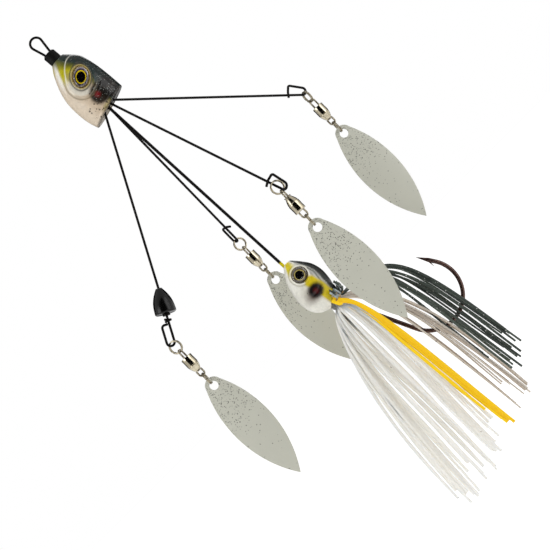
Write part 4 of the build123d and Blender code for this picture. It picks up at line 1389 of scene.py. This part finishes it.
def lock_tips(locks: tuple[tuple[float, float, float, int], ...], bearings: tuple[float, float],
              depth: tuple[float, float], loose: float = 0.35, ragged: float = 1.2,
              ) -> Callable[[np.random.Generator], tuple[Array, Array]]:
    """Tips gathered in locks, the same on both flanks but for their scatter.

    Args:
        locks: For each lock its place across, its height, how far its strands spread, and their number a flank.
        bearings: First and last bearing on the collar, in degrees from the back, spread over the locks in order.
        depth: Nearest and farthest place off the mid plane.
        loose: Random spread of the places across.
        ragged: Random spread of the heights.

    Returns:
        A function from random numbers to bearings and tips.
    """
    def tips(rng: np.random.Generator) -> tuple[Array, Array]:
        """Both flanks' bearings and tips."""
        one = np.concatenate([np.stack([x + np.linspace(-spread, spread, count), np.full(count, z)], -1)
                              for x, z, spread, count in locks])
        both = np.tile(one, (2, 1))
        flank = np.repeat([-1.0, 1.0], len(one))
        share = np.tile(np.linspace(0, 1, len(one)), 2)
        bearing = np.radians(bearings[0] + (bearings[1] - bearings[0]) * share + rng.normal(0, 2.0, len(both))) * flank
        x = both[:, 0] + rng.normal(0, loose, len(both))
        z = np.clip(both[:, 1] + rng.normal(0, ragged, len(both)), LOWEST_TIP, HIGHEST_TIP)
        return bearing, np.stack([x, flank * rng.uniform(*depth, len(both)), z], -1)
    return tips


WHITE_LOCKS = ((-7.0, -196.5, 0.9, 2), (-4.6, -199.5, 0.8, 3), (-1.8, -201.0, 0.6, 2), (1.8, -192.0, 1.0, 2),
               (4.6, -198.6, 0.7, 2), (8.0, -197.8, 0.6, 2), (8.8, -184.0, 0.7, 1), (11.6, -195.6, 0.7, 2),
               (14.6, -192.4, 0.7, 2), (17.6, -187.0, 0.7, 2))
YELLOW_LOCKS = ((18.6, -182.6, 0.1, 1), (21.2, -190.6, 0.5, 2), (22.5, -192.4, 0.1, 1))
SMOKE_LOCKS = ((27.6, -190.0, 0.5, 1), (29.6, -183.4, 0.7, 2), (32.4, -188.2, 0.9, 3), (34.8, -186.4, 0.4, 1))
DARK_LOCKS = ((31.8, -170.6, 0.3, 1), (35.2, -180.0, 0.6, 2), (36.9, -174.6, 0.5, 1), (39.0, -178.4, 0.6, 2),
              (41.2, -172.8, 0.8, 3))
SKIRT = (
    Bunch("skirt_white", "silicone_white", WHITE_SILICONE, lock_tips(WHITE_LOCKS, (178, 98), (1.2, 8.2)), 11,
          handle=11.5, spread=0.55, flare=0.04, half_width=0.56, half_depth=0.16, wave=0.6, twist=0.18, stub=0.3),
    Bunch("skirt_yellow", "silicone_yellow", YELLOW_SILICONE,
          lock_tips(YELLOW_LOCKS, (106, 86), (7.0, 7.8), 0.1, 0.4), 23, handle=11.0, spread=0.4, flare=0.12,
          half_width=0.56, wave=0.12, twist=0.1, stub=0.5, band_radius=3.3),
    Bunch("skirt_smoke", "silicone_smoke", SMOKE_SILICONE, lock_tips(SMOKE_LOCKS, (78, 56), (3.4, 5.2)), 37,
          handle=14.0, spread=0.6, flare=0.1, half_width=0.34, half_depth=0.15, wave=0.5, twist=0.2),
    Bunch("skirt_dark", "silicone_dark", DARK_SILICONE, lock_tips(DARK_LOCKS, (50, 12), (3.6, 5.6), 0.3, 1.4), 53,
          handle=17.5, spread=0.95, fall=37.0, flare=0.16, half_width=0.42, half_depth=0.18, wave=0.5, twist=0.2,
          stub=1.6),
)


@dataclass
class ButtEnds:
    """Short cut ends of the dark strands, curling out above the collar on the back side."""
    label: str
    finish: Silicone
    slot: str
    seed: int
    count: int
    bearings: tuple[float, float]
    rise: tuple[float, float]
    reach: tuple[float, float] = (1.2, 3.4)
    start_radius: float = 2.5
    half_width: float = 0.34
    half_depth: float = 0.13

    def build(self) -> Thing:
        """Each end is a quarter-arc leaving the collar and curling outwards, drawn as a flat strand.

        Returns:
            The tuft.
        """
        rng = np.random.default_rng(self.seed)
        skin = Skin()
        s = np.linspace(0, 1, 14)[:, None]
        for _ in range(self.count):
            bearing = math.radians(rng.uniform(*self.bearings)) * rng.choice([-1.0, 1.0])
            out = round_collar(bearing)
            reach, rise = rng.uniform(*self.reach), rng.uniform(*self.rise)
            base = COLLAR + out * self.start_radius + SHANK * rng.uniform(0.2, 2.4)
            path = base + out * reach * np.sin(s * 1.5) - SHANK * rise * (1 - np.cos(s * 1.9))
            side = unit(np.cross(SHANK, out) + rng.normal(0, 0.25, 3))
            add_strand(skin, path, self.half_width, self.half_depth, side, rng.random())
        return skin.build(f"butt_ends_{self.label}", 70)

    def dress(self) -> None:
        """Build the tuft and set it on the lure."""
        fit_piece(self.build(), self.finish.make(), ROOT, self.slot)


TUFTS = (ButtEnds("dark", DARK_SILICONE, "silicone_dark", 71, 20, (0, 70), (0.6, 2.4)),
         ButtEnds("silver", FLECK_SILVER, "silicone_dark", 73, 14, (10, 80), (0.8, 2.2)),
         ButtEnds("tan", FLECK_TAN, "silicone_smoke", 79, 14, (30, 95), (-0.9, 0.7), (0.8, 2.0)))


# --------------------------------------------------------------------------- plain CAD shapes
@dataclass
class Fittings:
    """Pieces whose CAD shape is right: wires, sleeve, bead, wrap, collar and hook."""
    wires: tuple[str, ...] = ("line_tie_loop", *(f"arm_wire_{arm}" for arm in ARMS), "link_wrap", "bead_washer")
    others: dict[str, tuple[Finish, str, str]] = field(default_factory=lambda: {
        "centre_wire": (CENTRE_WIRE, ROOT, "wire_black"),
        "nose_sleeve": (SLEEVE_RUBBER, ROOT, "sleeve_black"),
        "bullet_bead": (BEAD_GLOSS, "bead", "bead_black"),
        "skirt_collar": (COLLAR_RUBBER, ROOT, "collar_black"),
        "hook": (HOOK_BRONZE, ROOT, "hook_bronze")})

    def dress(self) -> None:
        """Give each a smooth copy of its CAD mesh and its finish."""
        for node in self.wires:
            fit_piece(smooth_copy(node), BLACK_WIRE.make(), ROOT, "wire_black", node)
        for node, (finish, body, slot) in self.others.items():
            fit_piece(smooth_copy(node), finish.make(), body, slot, node)


# --------------------------------------------------------------------------- studio
@dataclass
class Studio:
    """Plain white studio: floor, soft lamps, dark flags for the metal, and the camera."""
    middle: Point = (1.664, 0.0, -105.9)
    distance: float = 620.0
    field_width: float = 176.0
    sensor: float = 36.0
    roll: float = 45.0
    floor: float = -262.0
    dome: float = 0.56
    lamps: tuple = (("key", (-560.0, -400.0, 220.0), 460.0, 2.4), ("fill", (600.0, -400.0, -40.0), 460.0, 1.6),
                    ("rim", (160.0, 460.0, 300.0), 380.0, 1.2))
    flags: tuple = (("flag_front", -720.0, 700.0, 950.0), ("flag_back", 720.0, 1500.0, 1500.0))
    far: float = 4000.0

    def world(self) -> None:
        """White behind the lure for camera, glass and metal; a soft graded dome lights it."""
        world = bpy.data.worlds.new("soft_dome")
        bpy.context.scene.world = world
        world.use_nodes = True
        tree = Tree(world.node_tree)
        tree.tree.nodes.clear()
        direction = tree.add("TexCoord").outputs["Generated"]
        parts = tree.add("SeparateXYZ", {0: direction})
        height = tree.remap(parts.outputs[2], -0.7, 0.9, 0.62, 1.0)
        light = tree.add("Background", {"Color": tree.grey(height), "Strength": self.dome})
        seen = tree.add("Background", {"Color": (1.0, 1.0, 1.0), "Strength": 1.0})
        look = tree.seen_by("Camera", "Transmission", "Glossy")
        mix = tree.add("MixShader", {0: look, 1: light.outputs[0], 2: seen.outputs[0]})
        tree.add("OutputWorld", {"Surface": mix.outputs[0]})

    def lamp(self, name: str, place: Point, size: float, power: float) -> None:
        """A square area lamp that faces the lure's middle.

        Args:
            name: Its name.
            place: Where it hangs, in millimetres.
            size: Edge length in millimetres.
            power: Its power in watts.
        """
        data = bpy.data.lights.new(name, "AREA")
        data.shape, data.size, data.energy = "SQUARE", size * UNIT, power
        lamp = stand(name, data)
        lamp.location = Vector(place) * UNIT
        sight = Vector(self.middle) * UNIT - lamp.location
        lamp.rotation_euler = sight.to_track_quat("-Z", "Y").to_euler()

    @staticmethod
    def sheet(name: str, corners: list[Point], material: bpy.types.Material) -> None:
        """A flat stage sheet between four corners."""
        mesh = bpy.data.meshes.new(name)
        mesh.from_pydata([tuple(c * UNIT for c in corner) for corner in corners], [], [(0, 1, 2, 3)])
        mesh.materials.append(material)
        sheet = stand(name, mesh)

    def floor_material(self) -> bpy.types.Material:
        """Matt near-white floor that cameras, reflections and glass see lifted to white, shadows kept."""
        material = bpy.data.materials.new("pale_floor")
        material.use_nodes = True
        tree = Tree(material.node_tree)
        shader = material.node_tree.nodes["Principled BSDF"]
        lift = tree.math("MULTIPLY", tree.seen_by("Camera", "Glossy", "Transmission"), 0.62)
        grain = tree.noise(tree.place(), 40.0)
        tint = tree.mix(tree.remap(grain, 0.3, 0.7, 0.0, 1.0), (0.9, 0.9, 0.9), (0.93, 0.93, 0.93))
        tree.join(shader, Base_Color=tint, Roughness=0.9, Emission_Color=(1.0, 1.0, 1.0), Emission_Strength=lift)
        return material

    def flag_material(self) -> bpy.types.Material:
        """Black card that only reflections see."""
        material = bpy.data.materials.new("black_flag")
        material.use_nodes = True
        tree = Tree(material.node_tree)
        tree.tree.nodes.clear()
        clear = tree.add("BsdfTransparent")
        black = tree.add("Emission", {"Color": (0.0, 0.0, 0.0), "Strength": 0.0})
        mix = tree.add("MixShader", {0: tree.seen_by("Glossy"), 1: clear.outputs[0], 2: black.outputs[0]})
        tree.add("OutputMaterial", {"Surface": mix.outputs[0]})
        return material

    def camera(self) -> None:
        """The camera square to the lure's flank, rolled so that the line tie is at the upper left."""
        data = bpy.data.cameras.new("camera")
        data.sensor_width = self.sensor
        data.lens = self.sensor * self.distance / self.field_width
        data.clip_start, data.clip_end = 0.01, 20.0
        camera = stand("camera", data)
        x, y, z = self.middle
        camera.location = (x * UNIT, (y - self.distance) * UNIT, z * UNIT)
        camera.rotation_euler = (math.radians(90), math.radians(self.roll), 0.0)
        bpy.context.scene.camera = camera

    def build(self) -> None:
        """Set up the whole studio."""
        bpy.context.scene.view_settings.view_transform = "Standard"
        self.world()
        self.camera()
        for name, place, size, power in self.lamps:
            self.lamp(name, place, size, power)
        turns = ((-1, -1), (1, -1), (1, 1), (-1, 1))
        self.sheet("floor", [(i * self.far, j * self.far, self.floor) for i, j in turns], self.floor_material())
        flag = self.flag_material()
        x, _, z = self.middle
        for name, y, wide, high in self.flags:
            self.sheet(name, [(x + i * wide, y, z + j * high) for i, j in turns], flag)


def main() -> None:
    """Build the studio, then every sub-assembly in order."""
    logging.basicConfig(level=logging.INFO, format="%(name)s: %(message)s")
    Studio().build()
    Fittings().dress()
    FrontHead().dress()
    JigHead().dress()
    for arm in ARMS:
        Chain(arm).dress()
    for bunch in SKIRT:
        bunch.dress()
    for tuft in TUFTS:
        tuft.dress()


if __name__ == "__main__":
    main()
